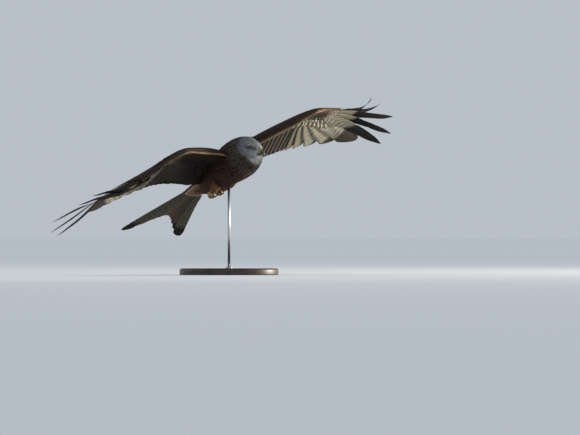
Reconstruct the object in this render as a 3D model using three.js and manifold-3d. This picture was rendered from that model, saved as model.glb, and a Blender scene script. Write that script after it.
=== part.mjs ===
// Red kite in a banking glide, life size, held over a round base by one rod. Millimetres, +Z up.
// Bird frame: +X towards its left wing, +Y towards its tail, +Z out of its back, origin in mid trunk.
import * as THREE from "three";
import { mergeVertices } from "three/addons/utils/BufferGeometryUtils.js";
import Module from "manifold-3d";

const wasm = await Module();
wasm.setup();

const degrees = Math.PI / 180;
const gap = 0.3;
const mergeDistance = 1e-4;
const shortEdge = 0.02;
const vaneThickness = 0.9;

// How the bird is held: nose up, left wing up, and how high its middle is over the floor
const nosePitch = 23.4 * degrees;
const bank = 13.4 * degrees;
const trunkHeight = 330;

// Points

const point = (x, y, z) => new THREE.Vector3(x, y, z);
const mix = (a, b, t) => a + (b - a) * t;
const clamp = (t) => Math.min(1, Math.max(0, t));
const smooth = (from, to, x) => {
  const t = clamp((x - from) / (to - from));
  return t * t * (3 - 2 * t);
};

// Smooth curve through [position, value] pairs, carried straight on past its ends
function through(pairs) {
  const slope = (i) => {
    const a = pairs[Math.max(0, i - 1)];
    const b = pairs[Math.min(pairs.length - 1, i + 1)];
    return (b[1] - a[1]) / (b[0] - a[0]);
  };
  return (x) => {
    const last = pairs.length - 1;
    if (x <= pairs[0][0]) return pairs[0][1] + (x - pairs[0][0]) * slope(0);
    if (x >= pairs[last][0]) return pairs[last][1] + (x - pairs[last][0]) * slope(last);
    const i = pairs.findIndex((pair) => pair[0] > x) - 1;
    const width = pairs[i + 1][0] - pairs[i][0];
    const t = (x - pairs[i][0]) / width;
    const rise = pairs[i + 1][1] - pairs[i][1];
    const bend = t * (1 - t) * ((slope(i) * width - rise) * (1 - t) - (slope(i + 1) * width - rise) * t);
    return pairs[i][1] + rise * t + bend;
  };
}

// Solids

function solidOf(geometry) {
  const bare = geometry.index ? geometry.toNonIndexed() : geometry.clone();
  for (const name of Object.keys(bare.attributes)) {
    if (name !== "position") bare.deleteAttribute(name);
  }
  const merged = mergeVertices(bare, mergeDistance);
  const vertProperties = new Float32Array(merged.attributes.position.array);
  const triVerts = new Uint32Array(merged.index.array);
  const made = new wasm.Manifold(new wasm.Mesh({ numProp: 3, vertProperties, triVerts }));
  if (made.volume() > 0) return made;
  // a mirrored shape comes with its faces turned in
  for (let i = 0; i < triVerts.length; i += 3) {
    [triVerts[i + 1], triVerts[i + 2]] = [triVerts[i + 2], triVerts[i + 1]];
  }
  return new wasm.Manifold(new wasm.Mesh({ numProp: 3, vertProperties, triVerts }));
}

function geometryOf(points, faces) {
  return new THREE.BufferGeometry().setFromPoints(points).setIndex(faces);
}

// Closed solid through rings with the same number of points, its two ends closed by fans
function loft(rings) {
  const count = rings[0].length;
  const points = rings.flat();
  const faces = [];
  for (let i = 0; i + 1 < rings.length; i++) {
    for (let k = 0; k < count; k++) {
      const a = i * count + k;
      const b = i * count + ((k + 1) % count);
      faces.push(a, b, b + count, a, b + count, a + count);
    }
  }
  for (const [i, turned] of [[0, true], [rings.length - 1, false]]) {
    const centre = rings[i].reduce((sum, p) => sum.add(p), point(0, 0, 0)).divideScalar(count);
    points.push(centre);
    for (let k = 0; k < count; k++) {
      const a = i * count + k;
      const b = i * count + ((k + 1) % count);
      faces.push(points.length - 1, turned ? b : a, turned ? a : b);
    }
  }
  return solidOf(geometryOf(points, faces));
}

// Thin closed solid between two like grids of points, split into the same triangles on both faces
function plate(top, bottom) {
  const rows = top.length;
  const columns = top[0].length;
  const points = [...top.flat(), ...bottom.flat()];
  const under = rows * columns;
  const at = (i, j) => i * columns + j;
  const faces = [];
  for (let i = 0; i + 1 < rows; i++) {
    for (let j = 0; j + 1 < columns; j++) {
      const [a, b, c, d] = [at(i, j), at(i + 1, j), at(i + 1, j + 1), at(i, j + 1)];
      faces.push(a, b, c, a, c, d, under + a, under + c, under + b, under + a, under + d, under + c);
    }
  }
  const rim = [];
  for (let i = 0; i + 1 < rows; i++) rim.push([at(i + 1, 0), at(i, 0)]);
  for (let j = 0; j + 1 < columns; j++) rim.push([at(0, j), at(0, j + 1)]);
  for (let i = 0; i + 1 < rows; i++) rim.push([at(i, columns - 1), at(i + 1, columns - 1)]);
  for (let j = 0; j + 1 < columns; j++) rim.push([at(rows - 1, j + 1), at(rows - 1, j)]);
  for (const [a, b] of rim) faces.push(a, b, under + b, a, under + b, under + a);
  return solidOf(geometryOf(points, faces));
}

const fuse = (solids) => wasm.Manifold.union(solids);

// The largest closed surface of a solid, without scraps and sealed hollows
function whole(solid) {
  return solid.decompose().reduce((best, piece) => (piece.volume() > best.volume() ? piece : best));
}

// Round tube through points, with a radius at each
function tube(path, radii, sides) {
  const rings = path.map((centre, i) => {
    const along = path[Math.min(i + 1, path.length - 1)].clone().sub(path[Math.max(i - 1, 0)]).normalize();
    const across = point(1, 0, 0).cross(along).normalize();
    const out = along.clone().cross(across);
    return Array.from({ length: sides }, (_, k) => {
      const turn = (2 * Math.PI * k) / sides;
      return centre
        .clone()
        .addScaledVector(across, radii[i] * Math.cos(turn))
        .addScaledVector(out, radii[i] * Math.sin(turn));
    });
  });
  return loft(rings);
}

// Closed ring of a trunk, head or bill section: top and bottom points on the mid plane, and half width
function oval({ top, low, half }, sides, grow = 0) {
  const arm = point(0, (top[0] - low[0]) / 2, (top[1] - low[1]) / 2);
  const centre = point(0, (top[0] + low[0]) / 2, (top[1] + low[1]) / 2);
  const reach = 1 + grow / arm.length();
  return Array.from({ length: sides }, (_, k) => {
    const turn = (2 * Math.PI * (k + 0.5)) / sides;
    return centre
      .clone()
      .addScaledVector(arm, Math.sin(turn) * reach)
      .add(point(Math.cos(turn) * (half + grow), 0, 0));
  });
}

// Feathers

// Width along a feather, as a share of its full width
const shapes = {
  flight: through([[0, 0.45], [0.35, 0.95], [0.7, 1], [0.9, 0.9], [1, 0.42]]),
  finger: through([
    [0, 0.14], [0.1, 0.42], [0.22, 0.9], [0.42, 1], [0.56, 0.72], [0.7, 0.62], [0.88, 0.5], [1, 0.08],
  ]),
  corner: through([[0, 0.2], [0.1, 0.5], [0.25, 0.95], [0.5, 1], [0.7, 0.9], [0.88, 0.6], [1, 0.08]]),
  tail: through([[0, 0.25], [0.3, 0.7], [0.7, 1], [0.88, 0.92], [0.96, 0.72], [1, 0.34]]),
  covert: through([[0, 0.75], [0.5, 1], [0.8, 1], [1, 0.4]]),
};
const steps = {
  flight: [0, 0.35, 0.65, 0.9, 1],
  finger: [0, 0.25, 0.44, 0.57, 0.7, 0.85, 1],
  corner: [0, 0.25, 0.5, 0.7, 0.86, 1],
  tail: [0, 0.35, 0.65, 0.88, 0.96, 1],
  covert: [0, 0.5, 0.84, 1],
};

// Forward and outward slope of the height field at a plan point
function slopeAt(field, [out, back]) {
  const step = 8;
  return (field(out + step, back - step) - field(out - step, back + step)) / (2 * step * Math.SQRT2);
}

// Height of a free finger feather: straight from root to tip, arched, its end curled up and its blade turned.
// Over the first part of its length it leaves the layer of the wing, whose height is wingLevel.
const curlFrom = 0.3;
function freeHeight({ from, to, arch, curl, slope, blade, leave }, t, across, wingLevel) {
  const bend = arch * Math.sin(Math.PI * t) + curl * clamp((t - curlFrom) / (1 - curlFrom)) ** 2;
  const level = mix(from, to, t) + bend + mix(slope, blade, smooth(0, 0.7, t)) * across;
  return mix(wingLevel, level, leave ? smooth(leave[0], leave[1], t) : 1);
}

// One vane that lies on a height field. Plan points are [out, back]; out is away from the bird's middle.
// lead and trail are its widths either side of the shaft, lean lifts its leading edge over the next feather.
function vane(field, side, feather) {
  const { root, tip, lead, trail, shape, lean = 0.1, bow = 0, layer, path } = feather;
  const run = [tip[0] - root[0], tip[1] - root[1]];
  const length = Math.hypot(...run);
  const ahead = [run[0] / length, run[1] / length];
  const towards = [ahead[1], -ahead[0]];
  const rows = steps[shape].map((t) => {
    const aside = bow * 4 * t * (1 - t);
    const shaft = [root[0] + run[0] * t + towards[0] * aside, root[1] + run[1] * t + towards[1] * aside];
    const width = shapes[shape](t);
    return [-trail, lead].map((reach) => {
      const across = reach * width;
      const spot = [shaft[0] + towards[0] * across, shaft[1] + towards[1] * across];
      const level = field(spot[0], spot[1]) + mix(layer[0], layer[1], t);
      const height = path ? freeHeight(path, t, across, level) : level;
      return point(side * spot[0], spot[1], height + lean * across);
    });
  });
  const lift = (by) => rows.map((row) => row.map((p) => p.clone().add(point(0, 0, by))));
  return plate(lift(vaneThickness / 2), lift(-vaneThickness / 2));
}

// Trunk: top and bottom of each section on the mid plane as [back, height], with half width

const trunkSides = 24;
const trunkSections = [
  { top: [152, 15], low: [150, -26], half: 17 },
  { top: [132, 21], low: [130, -34], half: 25 },
  { top: [106, 30], low: [104, -40], half: 33 },
  { top: [78, 39], low: [76, -45], half: 40 },
  { top: [40, 49], low: [38, -51], half: 47 },
  { top: [0, 55], low: [0, -55], half: 52 },
  { top: [-36, 59], low: [-34, -59], half: 54 },
  { top: [-68, 58.5], low: [-62, -60.5], half: 52 },
  { top: [-93, 54], low: [-86, -59], half: 47 },
  { top: [-112, 48], low: [-104, -55], half: 41.5 },
  { top: [-127, 41], low: [-119, -49], half: 36 },
  { top: [-139, 33], low: [-131, -42], half: 31 },
  { top: [-148, 26], low: [-140, -34], half: 25 },
];
const trunkBody = (grow) => loft(trunkSections.map((section) => oval(section, trunkSides, grow)));
const neckFront = -118;
const neckBack = -82;
const torsoEnd = 150;

// Head, in its own frame: +Y towards the nape, origin between the eyes

const headAt = point(0, -135, -7);
const headNod = 34 * degrees;
const headLevel = 30 * degrees;
const headTurn = -8 * degrees;
const headMatrix = new THREE.Matrix4()
  .makeRotationFromEuler(new THREE.Euler(headNod, headLevel, headTurn, "ZXY"))
  .setPosition(headAt);
const headSides = 20;
const headSections = [
  { top: [42, 20], low: [42, -28], half: 27 },
  { top: [28, 25.5], low: [28, -32], half: 28 },
  { top: [13, 27], low: [13, -31], half: 26.5 },
  { top: [0, 25.5], low: [0, -26.5], half: 22.5 },
  { top: [-9, 22], low: [-9, -21.5], half: 18 },
  { top: [-17, 17.4], low: [-17, -17.5], half: 13.2 },
  { top: [-23, 13], low: [-22.5, -14.5], half: 9.8 },
  { top: [-27.5, 10], low: [-26.5, -12.4], half: 7.6 },
];
const eyeRadius = 7.8;
const eyeAt = point(13.6, -3.5, 4.5);
const eyeFacing = point(0.9, -0.4, 0.06).normalize();
const lid = { ring: 6.6, girth: 1.1, wide: 1.08, high: 0.92, out: 5, around: 12, sides: 5 };
const browLine = [
  [20, 12, 11],
  [20.4, 4, 13],
  [18.2, -4.5, 13],
  [14, -12, 10.8],
  [9.4, -19.5, 7.2],
];
const browRadii = [1.4, 3, 3.2, 2.6, 1.4];
const browSides = 8;

// Bill, in the head's frame
const cereSections = [
  { top: [-21, 11.2], low: [-21, -3.4], half: 8 },
  { top: [-26.5, 10.8], low: [-26.5, -3.4], half: 7.4 },
  { top: [-31, 9.4], low: [-31, -3.6], half: 6.4 },
];
const hookSections = [
  { top: [-31.3, 9.2], low: [-31.3, -3.6], half: 6.3 },
  { top: [-36, 8.2], low: [-35.4, -4.3], half: 5.3 },
  { top: [-40.6, 5.6], low: [-39.2, -5.2], half: 4.2 },
  { top: [-44.2, 1.2], low: [-42, -6.6], half: 3 },
  { top: [-46.2, -4], low: [-44, -9], half: 2 },
  { top: [-46.9, -9], low: [-45.2, -11.6], half: 1.15 },
  { top: [-46.2, -14], low: [-45.8, -13.8], half: 0.45 },
];
const lowerBillSections = [
  { top: [-17, -4.2], low: [-17, -11.6], half: 7.6 },
  { top: [-25, -4.2], low: [-25, -11.2], half: 6.4 },
  { top: [-33.5, -4.9], low: [-33, -10], half: 4.6 },
  { top: [-39.4, -6], low: [-39, -8.6], half: 2.6 },
  { top: [-41.2, -7.4], low: [-41, -8.1], half: 1.1 },
];
const cereSides = 16;
const billSides = 14;
const nostrilAt = [6.9, -28.6, 4.8];
const nostrilSize = [1.5, 2.2, 1.1];

// Wings: lead and trail edges as functions of the distance out from the mid plane

const wristOut = 284;
const leadBack = through([
  [20, -44], [100, -88], [190, -128], [255, -157], [284, -166],
  [320, -158], [400, -126], [500, -86], [620, -40],
]);
const trailBack = through([
  [40, 118], [80, 110], [140, 84], [200, 66], [270, 64],
  [331, 78], [422, 91], [500, 92], [575, 84], [620, 80],
]);
const fleshDepth = through([[20, 34], [110, 28], [200, 21], [284, 16], [340, 12], [404, 6]]);
const fleshSink = 6;
const crest = 0.56;
const handStretch = [320, 430];

const wings = {
  left: {
    side: 1,
    leadHeight: through([[20, 22], [100, 28], [190, 35], [284, 46], [400, 44], [500, 40], [620, 34]]),
    trailHeight: through([
      [40, -4], [140, 5], [200, 12], [270, 16], [331, 19], [400, 19], [500, 10], [575, -6], [620, -20],
    ]),
    camber: through([[20, 30], [150, 36], [230, 33], [284, 26], [340, 19], [420, 12], [560, 5]]),
    flatter: 0,
    tips: [331, 382, 446, 522, 602],
    arch: 14,
    fingers: [
      { tip: [674, 66], height: -53, curl: 6, blade: -0.42 },
      { tip: [722, 56], height: -33, curl: 14, blade: -0.28 },
      { tip: [742, 36], height: 11, curl: 34, blade: 0 },
      { tip: [716, 30], height: 62, curl: 70, blade: 0.05 },
      { tip: [651, -10], height: 77, curl: 82, blade: 0.1 },
    ],
  },
  right: {
    side: -1,
    leadHeight: through([
      [20, 22], [100, 28], [190, 33], [284, 38], [340, 31.4], [400, 16], [440, 2.5], [520, -4], [620, -16],
    ]),
    trailHeight: through([
      [40, 0], [143, 10], [215, 20], [270, 27], [331, 28], [422, 22], [500, 12], [575, 0], [620, -8],
    ]),
    camber: through([
      [20, 30], [150, 36], [230, 33], [284, 26], [340, 21], [400, 23], [440, 27], [520, 23], [620, 19],
    ]),
    flatter: 0.4,
    leave: [0.42, 0.82],
    tips: [331, 376, 425, 474, 522],
    arch: 8,
    fingers: [
      { tip: [673, 92], height: -36, curl: 6, blade: -0.06 },
      { tip: [718, 63], height: -27, curl: 10, blade: -0.04 },
      { tip: [733, 17], height: -8, curl: 16, blade: -0.02 },
      { tip: [732, -120], height: -12, curl: 34, blade: 0 },
      { tip: [682, -140], height: -2, curl: 34, blade: 0 },
    ],
  },
};

// Height of the wing's feather layer over the plan, for one wing
function wingField(wing) {
  return (out, back) => {
    const lead = leadBack(out);
    const share = (back - lead) / (trailBack(out) - lead);
    const level = mix(wing.leadHeight(out), wing.trailHeight(out), share);
    const bulge = crest + wing.flatter * smooth(...handStretch, out);
    return level + wing.camber(out) * Math.sin(Math.PI * clamp(share) ** bulge);
  };
}

// Section of the wing's flesh at one distance out, from the lead edge back to a thin rear edge
const fleshTop = [0, 0.025, 0.09, 0.2, 0.34, 0.47];
const fleshLow = [0.47, 0.34, 0.2, 0.09, 0.025];
const fleshShare = through([[0, 0.12], [0.025, 0.42], [0.09, 0.78], [0.2, 1], [0.34, 0.66], [0.47, 0.2]]);
function fleshRing(wing, field, out) {
  const lead = leadBack(out);
  const chord = trailBack(out) - lead;
  const depth = fleshDepth(out);
  const spot = (share, below) => {
    const back = lead + chord * share;
    return point(wing.side * out, back, field(out, back) - below);
  };
  return [
    ...fleshTop.map((share) => spot(share, share === 0 ? depth * 0.25 : fleshSink * share)),
    ...fleshLow.map((share) => spot(share, depth * fleshShare(share))),
  ];
}

const onWing = (out, share) => [out, mix(leadBack(out), trailBack(out), share)];

// Heights of a flight feather's root and tip against the wing's field, and how far its tips stagger
const flightLayer = [-3.5, -1.2];
const stagger = 1.5;
const staggered = (i) => (i % 2 ? stagger : -stagger);

// Secondaries from the wrist in to the tertials by the body
const secondaryCount = 15;
const lastRoot = 62;
const lastTip = 44;
function secondaries() {
  return Array.from({ length: secondaryCount }, (_, i) => {
    const t = i / (secondaryCount - 1);
    const rootOut = mix(wristOut - 6, lastRoot, t);
    const tipOut = mix(wristOut + 12, lastTip, t ** 0.96);
    return {
      root: onWing(rootOut, 0.4),
      tip: [tipOut, trailBack(tipOut) + staggered(i)],
      lead: 13,
      trail: 20,
      shape: "flight",
      layer: flightLayer,
      lean: 0.11,
      bow: 3,
    };
  });
}

// Primaries outward from the wrist: five that close the wing's edge, then five free fingers
const inner = 5;
const outerRoot = 392;
function primaries(wing, field) {
  const rootAt = (i) => onWing(mix(wristOut + 4, outerRoot, i / 9), mix(0.4, 0.14, i / 9));
  const plain = Array.from({ length: inner }, (_, i) => {
    const tipOut = wing.tips[i];
    return {
      root: rootAt(i),
      tip: [tipOut, trailBack(tipOut) + staggered(i)],
      lead: 14,
      trail: mix(28, 40, i / 4),
      shape: "flight",
      layer: flightLayer,
      lean: 0.1,
      bow: 4,
    };
  });
  const fingers = wing.fingers.map((finger, i) => {
    const root = rootAt(inner + i);
    return {
      root,
      tip: finger.tip,
      lead: mix(16, 11, i / 4),
      trail: mix(34, 20, i / 4),
      shape: i === 0 ? "corner" : "finger",
      bow: 7,
      layer: flightLayer,
      path: {
        from: field(...root) + flightLayer[0],
        to: finger.height - finger.curl,
        arch: wing.arch,
        curl: finger.curl,
        slope: slopeAt(field, root),
        blade: finger.blade,
        leave: wing.leave,
      },
    };
  });
  return [...plain, ...fingers];
}

// Rows of coverts: each tier's roots and tips as shares of the chord, over or under the flight feathers
const tiers = [
  { count: 8, from: 76, to: 272, root: 0.34, tip: 0.64, layer: [-2, 3.4], half: 15.5, slip: 12 },
  { count: 7, from: 70, to: 268, root: 0.2, tip: 0.45, layer: [-2, 6], half: 17, slip: 10 },
  { count: 8, from: 82, to: 272, root: 0.4, tip: 0.62, layer: [-8, -8.6], half: 15, slip: 12 },
];
const handTiers = [
  { count: 6, from: 296, to: 384, root: 0.24, tip: 0.54, layer: [-1.8, 3.6], half: 12, slip: 46 },
  { count: 5, from: 296, to: 372, root: 0.33, tip: 0.52, layer: [-5, -8], half: 12, slip: 46 },
];
function coverts(tier) {
  return Array.from({ length: tier.count }, (_, i) => {
    const t = i / (tier.count - 1);
    const out = mix(tier.from, tier.to, t);
    const along = tier.slip * (tier.from > wristOut ? mix(0.4, 1.9, t) : mix(-0.6, 1, t));
    return {
      root: onWing(out, tier.root),
      tip: onWing(out + along, tier.tip + (i % 2 ? 0.01 : -0.01)),
      lead: tier.half,
      trail: tier.half,
      shape: "covert",
      layer: tier.layer,
      lean: 0.06,
    };
  });
}

// Alula: the thumb's three short stiff feathers on the lead edge past the wrist
const alula = [0, 1, 2].map((i) => ({
  root: onWing(wristOut + 6 + i * 5, 0.1 + i * 0.025),
  tip: onWing(wristOut + 62 + i * 13, 0.12 + i * 0.03),
  lead: 4,
  trail: 9,
  shape: "covert",
  layer: [-1, 4 - i],
  lean: 0.05,
}));

// Cuts across the wing at the wrist, between the last secondary and the first primary
const wristLine = [wristOut, 306];
function wristCut(solid, side, keepHand) {
  const run = [wristLine[1] - wristLine[0], trailBack(wristLine[1]) - leadBack(wristLine[0])];
  const length = Math.hypot(...run);
  const normal = [(side * run[1]) / length, -run[0] / length, 0];
  const offset = normal[0] * side * wristLine[0] + normal[1] * leadBack(wristLine[0]);
  if (keepHand) return solid.trimByPlane(normal, offset + gap / 2);
  return solid.trimByPlane(normal.map((v) => -v), -offset + gap / 2);
}

function buildWing(wing) {
  const field = wingField(wing);
  const grow = (feather) => vane(field, wing.side, feather);
  const armStations = [20, 75, 135, 190, 240, 284, 300];
  const handStations = [262, 300, 350, 402];
  const flesh = (stations) => loft(stations.map((out) => fleshRing(wing, field, out)));
  const arm = fuse([flesh(armStations), ...secondaries().map(grow), ...tiers.flatMap(coverts).map(grow)]);
  const hand = fuse([
    flesh(handStations),
    ...primaries(wing, field).map(grow),
    ...handTiers.flatMap(coverts).map(grow),
    ...alula.map(grow),
  ]);
  return { arm: wristCut(arm, wing.side, false), hand: wristCut(hand, wing.side, true) };
}

// Tail, in its own frame: +Y along the tail from its root

const tailAt = point(0, 118, 2);
const tailDroop = 1.8 * degrees;
const tailTurn = 2.2 * degrees;
const tailRoll = 20 * degrees;
const tailMatrix = new THREE.Matrix4()
  .makeRotationFromEuler(new THREE.Euler(-tailDroop, tailRoll, -tailTurn, "XYZ"))
  .setPosition(tailAt);
const tailField = (out, back) => -0.0009 * out * out - 0.00002 * back * back;
function tailFeathers() {
  const count = 6;
  return Array.from({ length: count }, (_, i) => {
    const t = i / (count - 1);
    const turn = mix(1.6, 14.7, t) * degrees;
    const length = mix(240, 350, t ** 1.7);
    return {
      root: [mix(3, 15, t), 6],
      tip: [mix(3, 15, t) + length * Math.sin(turn), length * Math.cos(turn)],
      lead: mix(19, 10, t),
      trail: mix(19, 25, t),
      shape: "tail",
      layer: [0, 0],
      lean: 0.12,
      bow: mix(0, -8, t),
    };
  });
}
function tailCoverts(layer, reach) {
  return [0, 1, 2].map((i) => ({
    root: [3 + i * 6, 4],
    tip: [9 + i * 15, reach - i * 10],
    lead: 12,
    trail: 12,
    shape: "covert",
    layer,
    lean: 0.04,
  }));
}
const tailRootSections = [
  { top: [-6, 16], low: [-6, -30], half: 22 },
  { top: [12, 12], low: [12, -24], half: 23 },
  { top: [34, 6], low: [34, -13], half: 24 },
  { top: [52, 2], low: [52, -4], half: 20 },
];

function buildTail(side) {
  const root = loft(tailRootSections.map((section) => oval(section, 18)));
  const feathers = [
    ...tailFeathers(),
    ...tailCoverts([6, 3.4], 118),
    ...tailCoverts([-10, -4.5], 98),
  ].map((feather) => vane(tailField, side, feather));
  const half = fuse([root, ...feathers]).trimByPlane([side, 0, 0], gap / 2);
  return half.transform(tailMatrix.elements);
}

// Legs, drawn up under the belly

const thigh = [
  { at: [34, 40, -30], half: 15, tall: 14 },
  { at: [31, 62, -35], half: 16, tall: 16 },
  { at: [25, 84, -38], half: 12, tall: 12 },
  { at: [19, 96, -41], half: 7, tall: 7 },
];
const thighSides = 12;
function buildLeg(side) {
  return loft(
    thigh.map(({ at, half, tall }) =>
      Array.from({ length: thighSides }, (_, k) => {
        const turn = (2 * Math.PI * k) / thighSides;
        return point(side * at[0] + half * Math.cos(turn), at[1], at[2] + tall * Math.sin(turn));
      }),
    ),
  );
}

// Feet clenched to fists: three toes curl back, down and forward, the hind toe curls the other way
const footAt = { left: [14, 103, -40], right: [-14, 107, -41] };
const shankFrom = 96.3;
const toes = [
  { aside: -6, spread: -4, from: -30, to: 165, reach: 9, girth: 3 },
  { aside: 0, spread: 0, from: -30, to: 185, reach: 10.5, girth: 3.1 },
  { aside: 6, spread: 4, from: -30, to: 165, reach: 9, girth: 3 },
  { aside: 0, spread: -3, from: -20, to: -120, reach: 9.5, girth: 3.2 },
];
const toeTaper = [1.05, 1.1, 1, 0.95, 0.72];
const toeSides = 7;
const clawTurn = 105;
const clawReach = 6.2;
const clawSteps = [0.05, 0.35, 0.7, 1];
const clawRadii = [1.9, 1.6, 1, 0.3];
const shankRadii = [4, 4.4, 4];
const toeCentre = [0, -1, -5];

function buildFoot(name, side) {
  const pad = point(...footAt[name]);
  const centre = pad.clone().add(point(...toeCentre));
  const curl = (toe, turn, share) =>
    centre
      .clone()
      .add(point(toe.aside + toe.spread * share, toe.reach * Math.sin(turn), toe.reach * Math.cos(turn)));
  const toeTube = (toe, grow) => {
    const turns = [0, 0.25, 0.5, 0.75, 1].map((t) => mix(toe.from, toe.to, t) * degrees);
    const path = turns.map((turn, i) => curl(toe, turn, i / 4));
    return tube(path, toeTaper.map((share) => share * toe.girth + grow), toeSides);
  };
  const fingers = toes.map((toe) => toeTube(toe, 0));
  const room = fuse(toes.map((toe) => toeTube(toe, gap)));
  const shankStart = point(side * thigh[3].at[0], shankFrom, thigh[3].at[2]);
  const shankPath = [shankStart, pad.clone().add(point(0, -4, 2)), pad.clone().add(point(0, 3, 1))];
  const shank = tube(shankPath, shankRadii, 10);
  const foot = fuse([shank, ...fingers]).trimByPlane([0, 1, 0], shankFrom);
  const claws = toes.map((toe) => {
    const way = Math.sign(toe.to - toe.from);
    const end = toe.to * degrees;
    const tip = curl(toe, end, 1);
    const inward = centre.clone().add(point(toe.aside + toe.spread, 0, 0)).sub(tip).normalize();
    const middle = tip.clone().addScaledVector(inward, clawReach);
    const path = clawSteps.map((t) => {
      const turn = end + way * clawTurn * degrees * t;
      return middle.clone().add(point(0, clawReach * Math.sin(turn), clawReach * Math.cos(turn)));
    });
    return tube(path, clawRadii, 6).subtract(room).trimByPlane([0, 1, 0], shankFrom);
  });
  return { foot, claws };
}

// The plain display stand

const baseRadius = 150;
const baseHeight = 20;
const baseFoot = 3;
const baseBevel = 6;
const rodRadius = 4;

// Assembly

const finish = (name, color, roughness, metalness = 0) =>
  Object.assign(new THREE.MeshStandardMaterial({ color, roughness, metalness }), { name });
const finishes = {
  plumage: finish("plumage", 0x4a3226, 0.85),
  crown: finish("crown", 0xa8a59c, 0.85),
  wing: finish("wing", 0x3b2d26, 0.8),
  tail: finish("tail", 0x9a5a35, 0.8),
  cere: finish("cere", 0xd2b23c, 0.5),
  bill: finish("bill", 0x24211f, 0.35),
  eye: finish("eye", 0xd8c98a, 0.1),
  foot: finish("foot", 0xd8ac35, 0.55),
  claw: finish("claw", 0x17130f, 0.3),
  base: finish("base", 0x3a2a1e, 0.5),
  rod: finish("rod", 0xb8babd, 0.3, 1),
};

const kite = new THREE.Group();
kite.rotation.set(-nosePitch, -bank, 0, "XYZ");
kite.position.set(0, 0, trunkHeight);
const part = new THREE.Group();
part.add(kite);

function meshOf(solid) {
  const { vertProperties, triVerts, numProp } = whole(solid.simplify(shortEdge)).getMesh();
  const points = [];
  for (let i = 0; i < vertProperties.length; i += numProp) {
    points.push(point(vertProperties[i], vertProperties[i + 1], vertProperties[i + 2]));
  }
  return geometryOf(points, Array.from(triVerts)).toNonIndexed();
}
function place(group, name, solid, material) {
  const geometry = meshOf(solid);
  geometry.computeVertexNormals();
  const mesh = new THREE.Mesh(geometry, material);
  mesh.name = name;
  group.add(mesh);
  return mesh;
}

const headBuild = (sections, grow = 0, sides = headSides) =>
  loft(sections.map((section) => oval(section, sides, grow)));
const headLoft = headBuild(headSections);
const toHead = (solid) => solid.transform(headMatrix.elements);
const sphereAt = (radius, at, wide, high) => {
  const sphere = new THREE.SphereGeometry(radius, wide, high);
  sphere.rotateX(Math.PI / 2).translate(at.x, at.y, at.z);
  return solidOf(sphere);
};

const sides = { left: 1, right: -1 };
const mirrored = (v, side) => point(side * v.x, v.y, v.z);
const eyes = {};
const lids = [];
const sockets = [];
for (const [name, side] of Object.entries(sides)) {
  const at = mirrored(eyeAt, side);
  eyes[name] = sphereAt(eyeRadius, at, 14, 8);
  sockets.push(sphereAt(eyeRadius + gap, at, 14, 8));
  const ring = new THREE.TorusGeometry(lid.ring, lid.girth, lid.sides, lid.around);
  ring.scale(lid.wide, lid.high, 1);
  const facing = mirrored(eyeFacing, side);
  const lidAt = at.clone().addScaledVector(facing, lid.out);
  ring.applyQuaternion(new THREE.Quaternion().setFromUnitVectors(point(0, 0, 1), facing));
  ring.translate(lidAt.x, lidAt.y, lidAt.z);
  lids.push(solidOf(ring));
  lids.push(tube(browLine.map(([x, y, z]) => point(side * x, y, z)), browRadii, browSides));
}

const cere = headBuild(cereSections, 0, cereSides);
const nostrils = [1, -1].map((side) => {
  const slit = new THREE.SphereGeometry(1, 6, 4);
  slit.scale(...nostrilSize).translate(side * nostrilAt[0], nostrilAt[1], nostrilAt[2]);
  return solidOf(slit);
});
const hook = headBuild(hookSections, 0, billSides);
const lowerBill = headBuild(lowerBillSections, 0, billSides);
const billRoom = fuse([
  headBuild(cereSections, gap, cereSides),
  headBuild(lowerBillSections, gap, billSides),
]);

const wholeBody = fuse([trunkBody(0), toHead(fuse([headLoft, ...lids]))]).subtract(
  toHead(fuse([billRoom, ...sockets])),
);
const cutForward = [0, -1, 0];
const head = wholeBody.trimByPlane(cutForward, -neckFront + gap / 2);
const neck = wholeBody
  .trimByPlane(cutForward, -neckBack + gap / 2)
  .trimByPlane([0, 1, 0], neckFront + gap / 2);
const torso = wholeBody.trimByPlane([0, 1, 0], neckBack + gap / 2).trimByPlane(cutForward, -torsoEnd);
const torsoRoom = trunkBody(gap);

place(kite, "head", head, finishes.crown);
place(kite, "neck", neck, finishes.plumage);
place(kite, "torso", torso, finishes.plumage);
place(kite, "cere", toHead(cere.subtract(fuse(nostrils))), finishes.cere);
place(kite, "bill_upper", toHead(hook), finishes.bill);
place(kite, "bill_lower", toHead(lowerBill), finishes.bill);
for (const [name, side] of Object.entries(sides)) {
  place(kite, `eye_${name}`, toHead(eyes[name]), finishes.eye);
  const { arm, hand } = buildWing(wings[name]);
  place(kite, `wing_${name}_arm`, arm.subtract(torsoRoom), finishes.wing);
  place(kite, `wing_${name}_hand`, hand, finishes.wing);
  place(kite, `tail_${name}`, buildTail(side).subtract(torsoRoom), finishes.tail);
  place(kite, `leg_${name}`, buildLeg(side).subtract(torsoRoom), finishes.plumage);
  const { foot, claws } = buildFoot(name, side);
  place(kite, `foot_${name}`, foot.subtract(torsoRoom), finishes.foot);
  claws.forEach((claw, i) => place(kite, `claw_${name}_${i + 1}`, claw, finishes.claw));
}

part.updateMatrixWorld(true);

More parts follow.
